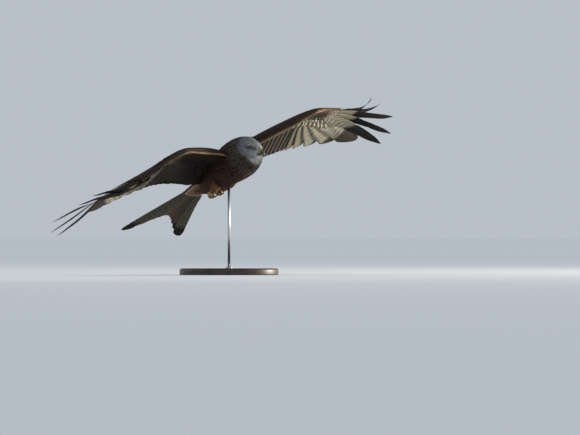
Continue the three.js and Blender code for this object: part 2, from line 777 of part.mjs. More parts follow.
const rodTop = trunkHeight;
const baseProfile = [
  [0, 0],
  [baseRadius - baseFoot, 0],
  [baseRadius, baseFoot],
  [baseRadius, baseHeight - baseBevel],
  [baseRadius - baseBevel, baseHeight],
  [0, baseHeight],
].map(([r, z]) => new THREE.Vector2(r, z));
const base = new THREE.LatheGeometry(baseProfile, 48).rotateX(Math.PI / 2);
place(part, "stand_base", solidOf(base), finishes.base);
const rod = new THREE.CylinderGeometry(rodRadius, rodRadius, rodTop - baseHeight - gap, 16);
rod.rotateX(Math.PI / 2).translate(0, 0, (rodTop + baseHeight + gap) / 2);
const worldTorsoRoom = torsoRoom.transform(kite.matrixWorld.elements);
place(part, "stand_rod", solidOf(rod).subtract(worldTorsoRoom), finishes.rod);

export default part;
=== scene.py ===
import math
import bpy
import numpy as np
from mathutils import Matrix, Vector
from mathutils.bvhtree import BVHTree
from mathutils.kdtree import KDTree


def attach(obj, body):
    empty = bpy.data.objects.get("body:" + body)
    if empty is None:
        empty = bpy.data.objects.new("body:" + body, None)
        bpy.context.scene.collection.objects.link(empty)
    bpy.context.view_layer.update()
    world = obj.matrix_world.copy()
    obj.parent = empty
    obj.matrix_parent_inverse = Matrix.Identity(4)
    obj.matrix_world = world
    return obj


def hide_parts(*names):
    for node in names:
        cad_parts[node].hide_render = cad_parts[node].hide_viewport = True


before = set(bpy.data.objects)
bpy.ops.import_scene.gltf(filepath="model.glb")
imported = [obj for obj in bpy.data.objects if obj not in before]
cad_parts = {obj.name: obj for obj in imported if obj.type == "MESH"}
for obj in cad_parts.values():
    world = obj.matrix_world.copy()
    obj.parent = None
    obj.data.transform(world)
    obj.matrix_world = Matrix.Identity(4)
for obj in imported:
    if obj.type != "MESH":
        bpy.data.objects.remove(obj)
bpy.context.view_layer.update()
rng = np.random.default_rng(61)
degree = math.pi / 180
fullTurn = 2 * math.pi
mm = 0.001

# The kite is shaped in its own frame, in millimetres: x to its left wing, y to its tail, z out of its back
kitePose = {
    "nosePitch": 23.4 * degree,
    "bank": 13.4 * degree,
    "trunkHeight": 0.330,
    "headAt": (0, -135, -7),
    "headNod": 34 * degree,
    "headLevel": 30 * degree,
    "headTurn": -8 * degree,
    "tailAt": (0, 118, 2),
    "tailDroop": 1.8 * degree,
    "tailRoll": 20 * degree,
    "tailTurn": 2.2 * degree,
}


def turnBy(*turns):  # (axis, pose, sign) turns, the last one made first
    turned = np.eye(3)
    for axis, pose, sign in turns:
        turned = turned @ np.array(Matrix.Rotation(sign * kitePose[pose], 3, axis))
    return turned


kiteTurn = turnBy(("X", "nosePitch", -1), ("Y", "bank", -1))
headTurn = turnBy(("Z", "headTurn", 1), ("X", "headNod", 1), ("Y", "headLevel", 1))
tailTurn = turnBy(("X", "tailDroop", -1), ("Y", "tailRoll", 1), ("Z", "tailTurn", -1))


def toRow(points):  # kite frame to the frame of the part, in metres
    points = np.asarray(points, float).reshape(-1, 3)
    return (points @ kiteTurn.T) * mm + np.array((0, 0, kitePose["trunkHeight"]))


def fromHead(points):
    return np.asarray(points, float) @ headTurn.T + np.array(kitePose["headAt"])


def toHead(points):
    return (np.asarray(points, float) - np.array(kitePose["headAt"])) @ headTurn


def fromTail(points):
    return np.asarray(points, float) @ tailTurn.T + np.array(kitePose["tailAt"])


# Curves and colours

def curve(pairs):  # smooth through (x, y) pairs, carried straight on past both ends
    x, y = (np.array(values, float) for values in zip(*pairs))
    before = np.maximum(np.arange(len(x)) - 1, 0)
    after = np.minimum(np.arange(len(x)) + 1, len(x) - 1)
    slope = (y[after] - y[before]) / (x[after] - x[before])

    def at(q):
        q = np.asarray(q, float)
        i = np.clip(np.searchsorted(x, q, "right") - 1, 0, len(x) - 2)
        width = x[i + 1] - x[i]
        t = np.clip((q - x[i]) / width, 0, 1)
        rise = y[i + 1] - y[i]
        bend = t * (1 - t) * ((slope[i] * width - rise) * (1 - t) - (slope[i + 1] * width - rise) * t)
        past = np.minimum(q - x[0], 0) * slope[0] + np.maximum(q - x[-1], 0) * slope[-1]
        return y[i] + rise * t + bend + past

    return at


def smooth(low, high, x):
    t = np.clip((np.asarray(x, float) - low) / (high - low), 0, 1)
    return t * t * (3 - 2 * t)


def mix(a, b, t):
    return a + (b - a) * t


def blendColor(a, b, t):
    t = np.asarray(t, float)[..., None]
    return np.asarray(a, float) * (1 - t) + np.asarray(b, float) * t


plumage = {  # linear colours
    "black": (0.006, 0.0055, 0.0055),
    "soot": (0.024, 0.018, 0.016),
    "darkBrown": (0.045, 0.027, 0.018),
    "buff": (0.52, 0.36, 0.2),
    "cream": (0.66, 0.56, 0.42),
}

# Mesh making

def newMesh(name, vertices, faces, materials=()):
    if isinstance(faces, np.ndarray):
        sizes, corners = np.full(len(faces), faces.shape[1]), faces.ravel()
    else:
        sizes, corners = np.array([len(f) for f in faces]), np.concatenate(faces)
    mesh = bpy.data.meshes.new(name)
    mesh.vertices.add(len(vertices))
    mesh.vertices.foreach_set("co", np.asarray(vertices, np.float32).ravel())
    mesh.loops.add(len(corners))
    mesh.loops.foreach_set("vertex_index", corners.astype(np.int32))
    mesh.polygons.add(len(sizes))
    mesh.polygons.foreach_set("loop_start", np.concatenate([[0], np.cumsum(sizes)[:-1]]).astype(np.int32))
    mesh.polygons.foreach_set("use_smooth", np.ones(len(sizes), bool))
    mesh.update(calc_edges=True)
    mesh.validate()
    for material in materials:
        mesh.materials.append(material)
    piece = bpy.data.objects.new(name, mesh)
    bpy.context.scene.collection.objects.link(piece)
    return piece


def setColor(mesh, name, values):
    layer = mesh.attributes.new(name, "FLOAT_COLOR", "POINT")
    rgba = np.ones((len(values), 4), np.float32)
    rgba[:, :3] = values
    layer.data.foreach_set("color", rgba.ravel())


def setUv(mesh, name, values):  # one value per vertex, written to every corner
    corner = np.zeros(len(mesh.loops), np.int32)
    mesh.loops.foreach_get("vertex_index", corner)
    layer = mesh.uv_layers.new(name=name)
    layer.data.foreach_set("uv", np.asarray(values, np.float32)[corner].ravel())


def circle(sides):  # angles once round
    return np.arange(sides) * fullTurn / sides


def ringFaces(rings, sides, capped=True):
    i, k = np.meshgrid(np.arange(rings - 1), np.arange(sides), indexing="ij")
    a = i * sides + k
    b = i * sides + (k + 1) % sides
    faces = [list(f) for f in np.stack([a, b, b + sides, a + sides], -1).reshape(-1, 4)]
    if capped:
        faces.append([k for k in range(sides)][::-1])
        faces.append([(rings - 1) * sides + k for k in range(sides)])
    return faces


def turnOut(piece):  # makes every face point outwards
    bpy.context.view_layer.objects.active = piece
    for other in bpy.context.selected_objects:
        other.select_set(False)
    piece.select_set(True)
    bpy.ops.object.mode_set(mode="EDIT")
    bpy.ops.mesh.select_all(action="SELECT")
    bpy.ops.mesh.normals_make_consistent(inside=False)
    bpy.ops.object.mode_set(mode="OBJECT")
    piece.select_set(False)


def keep(piece, slotName, *nodes):
    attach(piece, "root")
    if nodes:
        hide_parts(*nodes)
    return piece


def lathe(profile, sides):  # (radius, height) pairs turned about z
    turn = circle(sides)
    rings = [np.stack([r * np.cos(turn), r * np.sin(turn), np.full(sides, h)], -1) for r, h in profile]
    return np.concatenate(rings), ringFaces(len(profile), sides)


def tubeMesh(path, radii, sides, hint=(1, 0, 0)):
    path = np.asarray(path, float)
    along = np.gradient(path, axis=0)
    along /= np.linalg.norm(along, axis=1, keepdims=True)
    across = np.cross(np.array(hint, float), along)
    across /= np.linalg.norm(across, axis=1, keepdims=True)
    outward = np.cross(along, across)
    cos, sin = np.cos(circle(sides))[None, :, None], np.sin(circle(sides))[None, :, None]
    spokes = across[:, None] * cos + outward[:, None] * sin
    rings = path[:, None] + np.asarray(radii, float)[:, None, None] * spokes
    return rings.reshape(-1, 3), ringFaces(len(path), sides)


# Forms of the body: top and bottom of each section as (back, height), and its half width

trunk = [
    ((152, 15), (150, -26), 17), ((132, 21), (130, -34), 25), ((106, 30), (104, -40), 33),
    ((78, 39), (76, -45), 40), ((40, 49), (38, -51), 47), ((0, 55), (0, -55), 52),
    ((-36, 59), (-34, -59), 54), ((-68, 58.5), (-62, -60.5), 52), ((-93, 54), (-86, -59), 47),
    ((-112, 48), (-104, -55), 41.5), ((-127, 41), (-119, -49), 36), ((-139, 33), (-131, -42), 31),
    ((-148, 26), (-140, -34), 25),
]
headForm = [
    ((42, 20), (42, -28), 27), ((28, 25.5), (28, -32), 28), ((13, 27), (13, -31), 26.5),
    ((0, 25.5), (0, -26.5), 22.5), ((-9, 22), (-9, -21.5), 18), ((-17, 17.4), (-17, -17.5), 13.2),
    ((-23, 13), (-22.5, -14.5), 9.8), ((-27.5, 10), (-26.5, -12.4), 7.6),
]


def loftSurface(form, place=None, grow=0.0):  # a = section number, b = angle round it
    sections = [(*top, *low, half) for top, low, half in form]
    topBack, topUp, lowBack, lowUp, half = (curve(enumerate(values)) for values in zip(*sections))

    def at(a, b):
        cos, sin = np.cos(b), np.sin(b)
        middleBack, middleUp = (topBack(a) + lowBack(a)) / 2, (topUp(a) + lowUp(a)) / 2
        armBack, armUp = (topBack(a) - lowBack(a)) / 2, (topUp(a) - lowUp(a)) / 2
        reach = 1 + grow / np.hypot(armBack, armUp)
        wide = cos * (half(a) + grow)
        points = np.stack([wide, middleBack + armBack * sin * reach, middleUp + armUp * sin * reach], -1)
        return place(points) if place else points

    return at


def loftMesh(surface, last, sides, steps):  # closed rings from a loft surface
    a = np.repeat(np.linspace(0, last, steps), sides)
    return surface(a, np.tile(circle(sides), steps)), ringFaces(steps, sides)


def bodyRings(b, grow):  # control rings from the vent to the cere, the neck blended from trunk to head
    trunkRing = loftSurface(trunk, grow=grow)
    headRing = loftSurface(headForm, fromHead, grow * 0.6)

    def full(surface, a):
        return surface(np.full(b.shape, float(a)), b)

    rings = [full(trunkRing, a) for a in range(11)]
    rings.append(mix(full(trunkRing, 11), full(headRing, 2.2), 0.35))
    rings.append(mix(full(trunkRing, 12), full(headRing, 3), 0.68))
    return np.stack(rings + [full(headRing, a) for a in (4, 5, 6, 7)])


def bodyLoft(grow=0.0):  # a = ring number, 0 at the vent and bodyEnd at the cere, b = angle round it
    def at(a, b):
        a, b = np.broadcast_arrays(np.asarray(a, float), np.asarray(b, float))
        flatA = a.ravel()
        rings = bodyRings(b.ravel(), grow)
        last = len(rings) - 1
        i = np.clip(np.floor(flatA).astype(int), 0, last - 1)
        t = (flatA - i)[:, None]
        near = [rings[np.clip(i + k, 0, last), np.arange(len(flatA))] for k in (-1, 0, 1, 2)]
        step = near[2] - near[1]
        leave, arrive = (near[2] - near[0]) / 2, (near[3] - near[1]) / 2
        bend = np.clip(t, 0, 1)
        bow = (leave - step) * (1 - bend) - (arrive - step) * bend
        return (near[1] + step * t + bend * (1 - bend) * bow).reshape(a.shape + (3,))

    return at


bodyEnd = 16
bodySurface = bodyLoft()

# Wings: edges as distances back at each distance out, heights, camber and flesh

wristOut = 284
fleshEnd = 392
handStretch = (320, 430)  # where a hand's camber turns flatter
leadBack = curve([
    (20, -44), (100, -88), (190, -128), (255, -157), (284, -166),
    (320, -158), (400, -126), (500, -86), (620, -40),
])
trailBack = curve([
    (40, 118), (80, 110), (140, 84), (200, 66), (270, 64),
    (331, 78), (422, 91), (500, 92), (575, 84), (620, 80),
])
fleshDepth = curve([(20, 34), (110, 28), (200, 21), (284, 16), (340, 12), (404, 6)])
fleshShare = curve([(0, 0.12), (0.025, 0.42), (0.09, 0.78), (0.2, 1), (0.34, 0.66), (0.47, 0.2)])
crest = 0.56  # below 1 the camber's top lies nearer the lead edge
nose = 5.7  # depth of the rounded lead edge

wings = {  # heights and camber at each distance out
    "Left": {
        "side": 1,
        "camber": [(20, 30), (150, 36), (230, 33), (284, 26), (340, 19), (420, 12), (560, 5)],
        "flatter": 0,  # how much flatter the hand's camber is
        "barbAndPaintedLightGain": 1.9,  # gain of painted light and shade on the under side's arm coverts and secondaries; 1.9 paints this wing's under side as lit
        "hug": (-1, 0),  # stretch of a finger over which it leaves the wing's layer
        "blades": "finger",
        "leadUp": [(20, 22), (100, 28), (190, 35), (284, 46), (400, 44), (500, 40), (620, 34)],
        "trailUp": [
            (40, -4), (140, 5), (200, 12), (270, 16), (331, 19), (400, 19), (500, 10), (575, -6), (620, -20),
        ],
        "tips": (331, 382, 446, 522, 602),
        "arch": 14,
        "fingers": (  # tip (out, back), height, how far it curls up, slope of its blade
            ((674, 66), -53, 6, -0.42),
            ((722, 56), -33, 14, -0.28),
            ((742, 36), 11, 34, 0),
            ((716, 30), 62, 70, 0.05),
            ((651, -10), 77, 82, 0.1),
        ),
    },
    "Right": {
        "side": -1,
        "camber": [
            (20, 30), (150, 36), (230, 33), (284, 26), (340, 21), (400, 23), (440, 27), (520, 23), (620, 19),
        ],
        "flatter": 0.4,
        # gain of painted shade: 0.9 darkens this wing's under side as if it were in shade
        "barbAndPaintedLightGain": 0.9,
        "hug": (0.42, 0.82),
        "blades": "furled",
        "leadUp": [
            (20, 22), (100, 28), (190, 33), (284, 38), (340, 31), (400, 16), (440, 2), (520, -4), (620, -16),
        ],
        "trailUp": [
            (40, 0), (143, 10), (215, 20), (270, 27), (331, 28), (422, 22), (500, 12), (575, 0), (620, -8),
        ],
        "tips": (331, 376, 425, 474, 522),
        "arch": 8,
        "fingers": (
            ((673, 92), -36, 6, -0.06),
            ((718, 63), -27, 10, -0.04),
            ((733, 17), -8, 16, -0.02),
            ((732, -120), -12, 34, 0),
            ((682, -140), -2, 34, 0),
        ),
    },
}


for wing in wings.values():
    for key in ("camber", "leadUp", "trailUp"):
        wing[key] = curve(wing[key])


def chord(out):
    return trailBack(out) - leadBack(out)


def wingUp(wing, out, back):  # height of the feather layer
    share = (back - leadBack(out)) / chord(out)
    level = mix(wing["leadUp"](out), wing["trailUp"](out), share)
    bulge = crest + wing["flatter"] * smooth(*handStretch, out)
    return level + wing["camber"](out) * np.sin(math.pi * np.clip(share, 0, 1) ** bulge)


def noseArc(out):  # length of the rounded lead edge's quarter turn
    return 0.36 * fleshDepth(out) + 1


def arcAt(out, share):  # way round to a share of the chord
    return share * chord(out) - nose + noseArc(out)


def wingWrap(wing):  # a = distance out, b = way round from the lead edge: over it above zero, under it below
    def at(a, b):
        depth, lead, arc = fleshDepth(a), leadBack(a), noseArc(a)
        turn = np.clip(np.abs(b) / arc, 0, 1) * math.pi / 2
        back = lead + nose * (1 - np.cos(turn)) + np.maximum(np.abs(b) - arc, 0)
        share = (back - lead) / chord(a)
        rear = smooth(0.03, 0.12, share)
        topBelow = mix(depth * 0.25 * (1 - np.sin(turn)), 6 * np.minimum(share, 0.4), rear)
        flesh = np.maximum(depth * fleshShare(np.clip(share, 0, 0.47)), 6.5)
        lowBelow = mix(depth * (0.25 + 0.2 * np.sin(turn)), flesh, rear)
        up = wingUp(wing, a, back) - np.where(b >= 0, topBelow, lowBelow)
        return np.stack([wing["side"] * a, back, up], -1)

    return at


# Feathers are planted in batches: many small closed vanes that follow a surface

vaneShapes = {  # half width along a feather, as a share of its widest
    "round": [(0, 0.45), (0.3, 0.9), (0.65, 1), (0.88, 0.74), (1, 0.16)],
    "lance": [(0, 0.5), (0.25, 0.95), (0.5, 0.9), (0.8, 0.5), (1, 0.08)],
    "flight": [(0, 0.45), (0.35, 0.95), (0.7, 1), (0.9, 0.88), (0.97, 0.62), (1, 0.22)],
    "wide": [(0, 0.45), (0.35, 0.95), (0.7, 1), (0.92, 0.98), (0.97, 0.84), (1, 0.5)],
    "finger": [
        (0, 0.14), (0.1, 0.42), (0.22, 0.9), (0.42, 1), (0.56, 0.72), (0.7, 0.62), (0.88, 0.5), (1, 0.06),
    ],
    "furled": [(0, 0.8), (0.2, 1), (0.45, 1), (0.58, 0.74), (0.72, 0.6), (0.88, 0.46), (1, 0.06)],
    "corner": [(0, 0.2), (0.1, 0.5), (0.25, 0.95), (0.5, 1), (0.7, 0.9), (0.88, 0.6), (1, 0.06)],
    "tail": [(0, 0.25), (0.3, 0.7), (0.7, 1), (0.88, 0.95), (0.96, 0.76), (1, 0.3)],
}
vaneWidth = {name: curve(pairs) for name, pairs in vaneShapes.items()}
bakeIslands = {  # where each surface's roots lie in the coat's bake map: corner and size
    "body": (0.02, 0.02, 0.4, 0.46), "leg": (0.5, 0.26, 0.2, 0.2),
    "tailTop": (0.56, 0.02, 0.2, 0.2), "tailLow": (0.78, 0.02, 0.2, 0.2),
    "topLeft": (0.02, 0.5, 0.47, 0.22), "lowLeft": (0.51, 0.5, 0.47, 0.22),
    "topRight": (0.02, 0.75, 0.47, 0.22), "lowRight": (0.51, 0.75, 0.47, 0.22),
}
patch = 0.003  # size of a small feather in the bake map
smallFeather = {
    "steps": np.array([0, 0.22, 0.5, 0.75, 0.92, 1]),
    "across": np.array([-1, 0, 1, 0]),  # left edge, ridge, right edge, then the ridge again underneath
    "rise": np.array([0, 1, 0, -1]),
}


def bakePlace(island, u, v):
    x, y, wide, high = bakeIslands[island]
    return np.stack([x + wide * np.clip(u, 0, 1), y + high * np.clip(v, 0, 1)], -1)


class Coat:  # one joined piece of many feathers
    def __init__(self, name, *more):
        self.name = name
        self.points, self.faces, self.vane, self.bake = [], [], [], []
        self.colors = {kind: [] for kind in ("tint", "edge", "mark", *more)}
        self.count = 0

    def add(self, points, faces, vane, bake, colors):
        self.points.append(points.reshape(-1, 3))
        self.faces.append(faces + self.count)
        self.count += len(self.points[-1])
        self.vane.append(vane.reshape(-1, 2))
        self.bake.append(bake.reshape(-1, 2))
        for store, value in zip(self.colors.values(), colors):
            store.append(np.broadcast_to(value, points.shape[:-1] + (3,)).reshape(-1, 3))

    def build(self, material):
        vertices = toRow(np.concatenate(self.points))
        piece = newMesh(self.name, vertices, np.concatenate(self.faces), (material,))
        setUv(piece.data, "OFBake", np.concatenate(self.bake))
        setUv(piece.data, "vane", np.concatenate(self.vane))
        for kind, values in self.colors.items():
            setColor(piece.data, kind, np.concatenate(values))
        print("coat", self.name, len(piece.data.polygons), "faces")
        return piece


def smallFaces(count):
    rows = len(smallFeather["steps"])
    one = np.array(ringFaces(rows, 4))
    return (one[None] + (np.arange(count) * rows * 4)[:, None, None]).reshape(-1, 4)


def perFeather(value, count):  # one value for all, or one each, laid out to meet steps and edges
    return np.broadcast_to(np.asarray(value, float), (count,))[:, None, None]


def plant(coat, surface, a, b, way, size, look, place, out=1, lift=(0.4, 1.6), shape="round", ridge=0.16):
    # roots at a, b on the surface; way is the heading of the lie there, size is (length, half width)
    count = len(a)
    if count == 0:
        return
    step = 1e-3
    length, half = (perFeather(s, count) for s in size)
    low, high = (perFeather(v, count) for v in lift)
    scaleA = np.linalg.norm(surface(a + step, b) - surface(a - step, b), axis=-1)[:, None, None] / (2 * step)
    scaleB = np.linalg.norm(surface(a, b + step) - surface(a, b - step), axis=-1)[:, None, None] / (2 * step)
    t = smallFeather["steps"][None, :, None]
    edges, rise = (smallFeather[key][None, None, :] for key in ("across", "rise"))
    across = vaneWidth[shape](t) * half * edges
    cos, sin = np.cos(way)[:, None, None], np.sin(way)[:, None, None]
    qa = a[:, None, None] + (length * t * cos - across * sin) / scaleA
    qb = b[:, None, None] + (length * t * sin + across * cos) / scaleB
    base = surface(qa, qb)
    normal = np.cross(surface(qa + step, qb) - base, surface(qa, qb + step) - base)
    normal *= out / np.maximum(np.linalg.norm(normal, axis=-1, keepdims=True), 1e-12)
    height = mix(low, high, t ** 1.3) + ridge * half * rise * (1 - 0.4 * t)
    vane = np.stack(np.broadcast_arrays(0.5 + 0.5 * edges, t + 0 * length), -1)
    bake = place(a, b)[:, None, None, :] + (vane - 0.5) * patch
    colors = [np.broadcast_to(np.asarray(c, float), (count, 3))[:, None, None, :] for c in look]
    coat.add(base + normal * height[..., None], smallFaces(count), vane, bake, colors)


def scatter(rows, spacing, span):  # staggered places: rows along a, each with its own span
    a, b = [], []
    for i, row in enumerate(rows):
        low, high = span(row)
        gapB = spacing(row)
        count = max(int((high - low) / gapB), 1)
        places = low + (np.arange(count) + 0.5 * (i % 2) + 0.25) * (high - low) / count
        b.append(places + rng.normal(0, 0.14, count) * gapB)
        a.append(np.full(count, row, float))
    return np.concatenate(a), np.concatenate(b)


# Markings: every look is (tint, edge, mark) for places on one region

def bySpot(*stops):  # colour ramp over a value: (value, colour) pairs
    values = np.array([value for value, color in stops], float)
    colors = np.array([color for value, color in stops], float)

    def at(x):
        return np.stack([np.interp(x, values, channel) for channel in colors.T], -1)

    return at


def jitter(colors, amount):
    colors = np.asarray(colors, float)
    gain = 1 + rng.normal(0, amount, colors.shape[:-1])[..., None]
    return np.clip(colors * np.clip(gain, 0.55, 1.6), 0, 1)


def glow(points, at, reach):  # soft ball of influence round a place
    return np.exp(-(((points - np.array(at, float)) / np.array(reach, float)) ** 2).sum(-1))


bodyColors = {  # along the body's rings
    "back": bySpot(
        (0, (0.06, 0.034, 0.022)), (4, (0.036, 0.022, 0.015)), (7.5, (0.06, 0.034, 0.022)),
        (9, (0.1, 0.075, 0.055)),
    ),
    "low": bySpot(
        (0, (0.3, 0.17, 0.09)), (1.6, (0.16, 0.075, 0.038)), (4, (0.075, 0.034, 0.02)),
        (7.5, (0.06, 0.032, 0.021)), (9, (0.1, 0.075, 0.058)),
    ),
    "hood": bySpot(
        (9, (0.17, 0.165, 0.16)), (10.5, (0.28, 0.29, 0.305)), (12, (0.4, 0.41, 0.43)),
        (15, (0.62, 0.63, 0.64)),
    ),
    "edgeBack": (0.13, 0.07, 0.038),
    "edgeLow": (0.21, 0.1, 0.05),
    "edgeNeck": (0.4, 0.33, 0.25),
    "neck": (0.028, 0.024, 0.022),
    "face": (0.62, 0.61, 0.58),
    # painted shade: the dark grey round the eye stands in for shade under the brow ridge
    "socket": (0.035, 0.031, 0.03),
    "hoodEdge": (0.7, 0.71, 0.72),
    "streak": (0.03, 0.028, 0.027),
}


def bodyLook(a, b):
    paint = bodyColors
    low = smooth(0.3, -0.3, np.sin(b))
    tint = blendColor(paint["back"](a), paint["low"](a), low)
    edge = blendColor(paint["edgeBack"], paint["edgeLow"], low)
    edge = blendColor(edge, paint["edgeNeck"], smooth(7, 9.2, a) * 0.8)
    tint = blendColor(tint, paint["neck"], smooth(7, 9.5, a) * 0.8)
    mark = np.broadcast_to(plumage["black"], tint.shape)
    # the pale hood, painted in the head's own frame
    own = toHead(bodySurface(a, b))
    own = np.concatenate([np.abs(own[..., 0:1]), own[..., 1:]], -1)
    hood = smooth(8.9, 10.3, a - 1.1 * low)
    brow = glow(own, (17.5, 3, 12), (6, 13, 3.2)) + glow(own, (11, -13, 9.5), (6, 8, 3))
    ear = glow(own, (27, 26, -4), (8, 7, 6))
    cheek = glow(own, (20, 8, -12), (8, 12, 7))
    # socket is a mask of painted shade round the eye, under the brow ridge; it darkens the grey and fades the
    # pale feather edges there
    socket = 1.5 * glow(own, (17, -10, 4), (9, 12, 6)) + 1.1 * glow(own, (21, 4, 3), (9, 11, 4))
    grey = blendColor(paint["hood"](a), paint["face"], np.clip(brow + 0.9 * ear + 0.35 * cheek, 0, 1))
    grey = blendColor(grey, paint["socket"], 0.9 * np.clip(socket, 0, 1))
    hoodEdge = blendColor(grey, paint["hoodEdge"], 0.4 * (1 - np.clip(1.6 * socket, 0, 1)))
    hoodMark = blendColor(paint["streak"], grey, 0.45 * np.clip(brow, 0, 1) + smooth(12, 15, a) * 0.5)
    pairs = ((tint, grey), (edge, hoodEdge), (mark, hoodMark))
    tint, edge, mark = (blendColor(*pair, hood) for pair in pairs)
    return jitter(tint, 0.13), jitter(edge, 0.12), mark


wingColors = {  # over the chord, from the lead edge
    # at share 0 the top and topEdge colours are bright: a painted highlight along the lit lead edge
    "top": bySpot(
        (0, (0.3, 0.18, 0.09)), (0.008, (0.06, 0.038, 0.026)), (0.04, (0.03, 0.021, 0.016)),
        (0.2, (0.034, 0.023, 0.017)), (0.3, (0.1, 0.055, 0.032)), (0.42, (0.07, 0.04, 0.026)),
        (0.6, (0.03, 0.021, 0.016)),
    ),
    "topEdge": bySpot(
        (0, (0.9, 0.6, 0.34)), (0.006, (0.5, 0.32, 0.19)), (0.012, (0.2, 0.12, 0.075)),
        (0.04, (0.15, 0.095, 0.062)), (0.16, (0.15, 0.09, 0.055)), (0.3, (0.32, 0.2, 0.11)),
        (0.45, (0.26, 0.16, 0.09)), (0.6, (0.12, 0.08, 0.06)),
    ),
    "arm": bySpot(
        (0, (0.05, 0.028, 0.018)), (0.03, (0.04, 0.021, 0.014)), (0.1, (0.026, 0.014, 0.01)),
        (0.22, (0.017, 0.011, 0.009)), (0.33, (0.014, 0.01, 0.009)), (0.6, (0.02, 0.018, 0.016)),
    ),
    "hand": bySpot(
        (0, (0.13, 0.07, 0.042)), (0.03, (0.13, 0.065, 0.038)), (0.07, (0.09, 0.045, 0.028)),
        (0.11, (0.018, 0.013, 0.012)), (0.22, (0.018, 0.014, 0.013)), (0.27, (0.22, 0.2, 0.15)),
        (0.6, (0.33, 0.31, 0.23)),
    ),
    "armEdge": bySpot(
        (0, (0.13, 0.07, 0.04)), (0.05, (0.085, 0.044, 0.027)), (0.2, (0.05, 0.028, 0.018)),
        (0.33, (0.04, 0.03, 0.024)), (0.6, (0.05, 0.044, 0.038)),
    ),
    "handEdge": bySpot(
        (0, (0.3, 0.17, 0.1)), (0.05, (0.26, 0.15, 0.09)), (0.1, (0.09, 0.06, 0.045)),
        (0.22, (0.06, 0.05, 0.04)), (0.27, (0.34, 0.31, 0.23)), (0.6, (0.42, 0.39, 0.3)),
    ),
    "topHand": (0.024, 0.018, 0.015),
    "topHandEdge": (0.1, 0.07, 0.052),
    "outer": (0.3, 0.28, 0.21),
    "outerEdge": (0.4, 0.37, 0.29),
}


def topLook(out, share):  # upper side of a wing
    paint = wingColors
    hand = smooth(284, 330, out)
    tint = blendColor(paint["top"](share), paint["topHand"], hand * 0.8)
    edge = blendColor(paint["topEdge"](share), paint["topHandEdge"], hand * 0.7 * smooth(0.01, 0.05, share))
    return jitter(tint, 0.2), jitter(edge, 0.2), np.broadcast_to(plumage["black"], tint.shape)


def lowLook(out, share, barbAndPaintedLightGain):  # under side of a wing: brown arm, dark spots, then the pale window; the arm's colours are scaled by the wing's gain of painted light and painted shade
    paint = wingColors
    window = smooth(190, 310, out)
    outer = smooth(340, 385, out) * smooth(0.02, 0.06, share)  # the pale outer coverts of the hand
    tint = blendColor(barbAndPaintedLightGain * paint["arm"](share), paint["hand"](share), window)
    edge = blendColor(barbAndPaintedLightGain * paint["armEdge"](share), paint["handEdge"](share), window)
    tint = blendColor(tint, paint["outer"], 0.6 * outer)
    edge = blendColor(edge, paint["outerEdge"], outer)
    return jitter(tint, 0.2), jitter(edge, 0.16), np.broadcast_to(plumage["black"], tint.shape)


tailColors = {
    "top": bySpot((0, (0.12, 0.06, 0.032)), (60, (0.3, 0.12, 0.045)), (120, (0.42, 0.17, 0.06))),
    "low": bySpot((-10, (0.3, 0.17, 0.09)), (25, (0.6, 0.4, 0.25)), (90, (0.66, 0.46, 0.3))),
    "lowMark": (0.11, 0.055, 0.03),
}


def tailTopLook(a, b):
    tint = tailColors["top"](b)
    return jitter(tint, 0.12), jitter(blendColor(tint, plumage["buff"], 0.4), 0.1), plumage["darkBrown"]


def tailLowLook(a, b):
    tint = tailColors["low"](b)
    return jitter(tint, 0.14), jitter(blendColor(tint, plumage["cream"], 0.4), 0.1), tailColors["lowMark"]


def legLook(a, b):
    tint, edge = (np.broadcast_to(color, (len(a), 3)) for color in ((0.2, 0.095, 0.045), (0.4, 0.23, 0.12)))
    return jitter(tint, 0.15), jitter(edge, 0.1), plumage["soot"]


# Materials and shared node groups

def newGroup(name, inputs, outputs):
    tree = bpy.data.node_groups.new(name, "ShaderNodeTree")
    for title, kind, value in inputs:
        tree.interface.new_socket(name=title, in_out="INPUT", socket_type=kind).default_value = value
    for title, kind in outputs:
        tree.interface.new_socket(name=title, in_out="OUTPUT", socket_type=kind)
    return tree, tree.nodes.new("NodeGroupInput").outputs, tree.nodes.new("NodeGroupOutput").inputs


def addNode(tree, kind, settings=(), **values):  # i0, i1 and so on stand for inputs by number
    node = tree.nodes.new(kind)
    for name, value in dict(settings).items():
        setattr(node, name, value)
    for name, value in values.items():
        socket = node.inputs[int(name[1:])] if name[1:].isdigit() else node.inputs[name]
        if isinstance(value, bpy.types.NodeSocket):
            tree.links.new(value, socket)
        else:
            socket.default_value = value
    return node


def placeGroup(tree, group, **values):
    return addNode(tree, "ShaderNodeGroup", {"node_tree": group}, **values).outputs


def calc(tree, operation, *values):
    numbered = {"i" + str(n): value for n, value in enumerate(values)}
    return addNode(tree, "ShaderNodeMath", {"operation": operation}, **numbered).outputs[0]


def ramp(tree, value, low, high):  # smooth step of a value
    settings = {"interpolation_type": "SMOOTHSTEP"}
    return addNode(tree, "ShaderNodeMapRange", settings, i0=value, i1=low, i2=high).outputs[0]


def mixColor(tree, factor, a, b, blend="MIX"):
    a, b = (value if isinstance(value, bpy.types.NodeSocket) else (*value, 1) for value in (a, b))
    settings = {"data_type": "RGBA", "blend_type": blend}
    return addNode(tree, "ShaderNodeMix", settings, i0=factor, i6=a, i7=b).outputs[2]


def blankMaterial(name, **values):
    material = bpy.data.materials.new(name)
    material.use_nodes = True
    tree = material.node_tree
    shader = next(n for n in tree.nodes if n.type == "BSDF_PRINCIPLED")
    for title, value in values.items():
        shader.inputs[title.replace("_", " ")].default_value = value
    return material, tree, shader


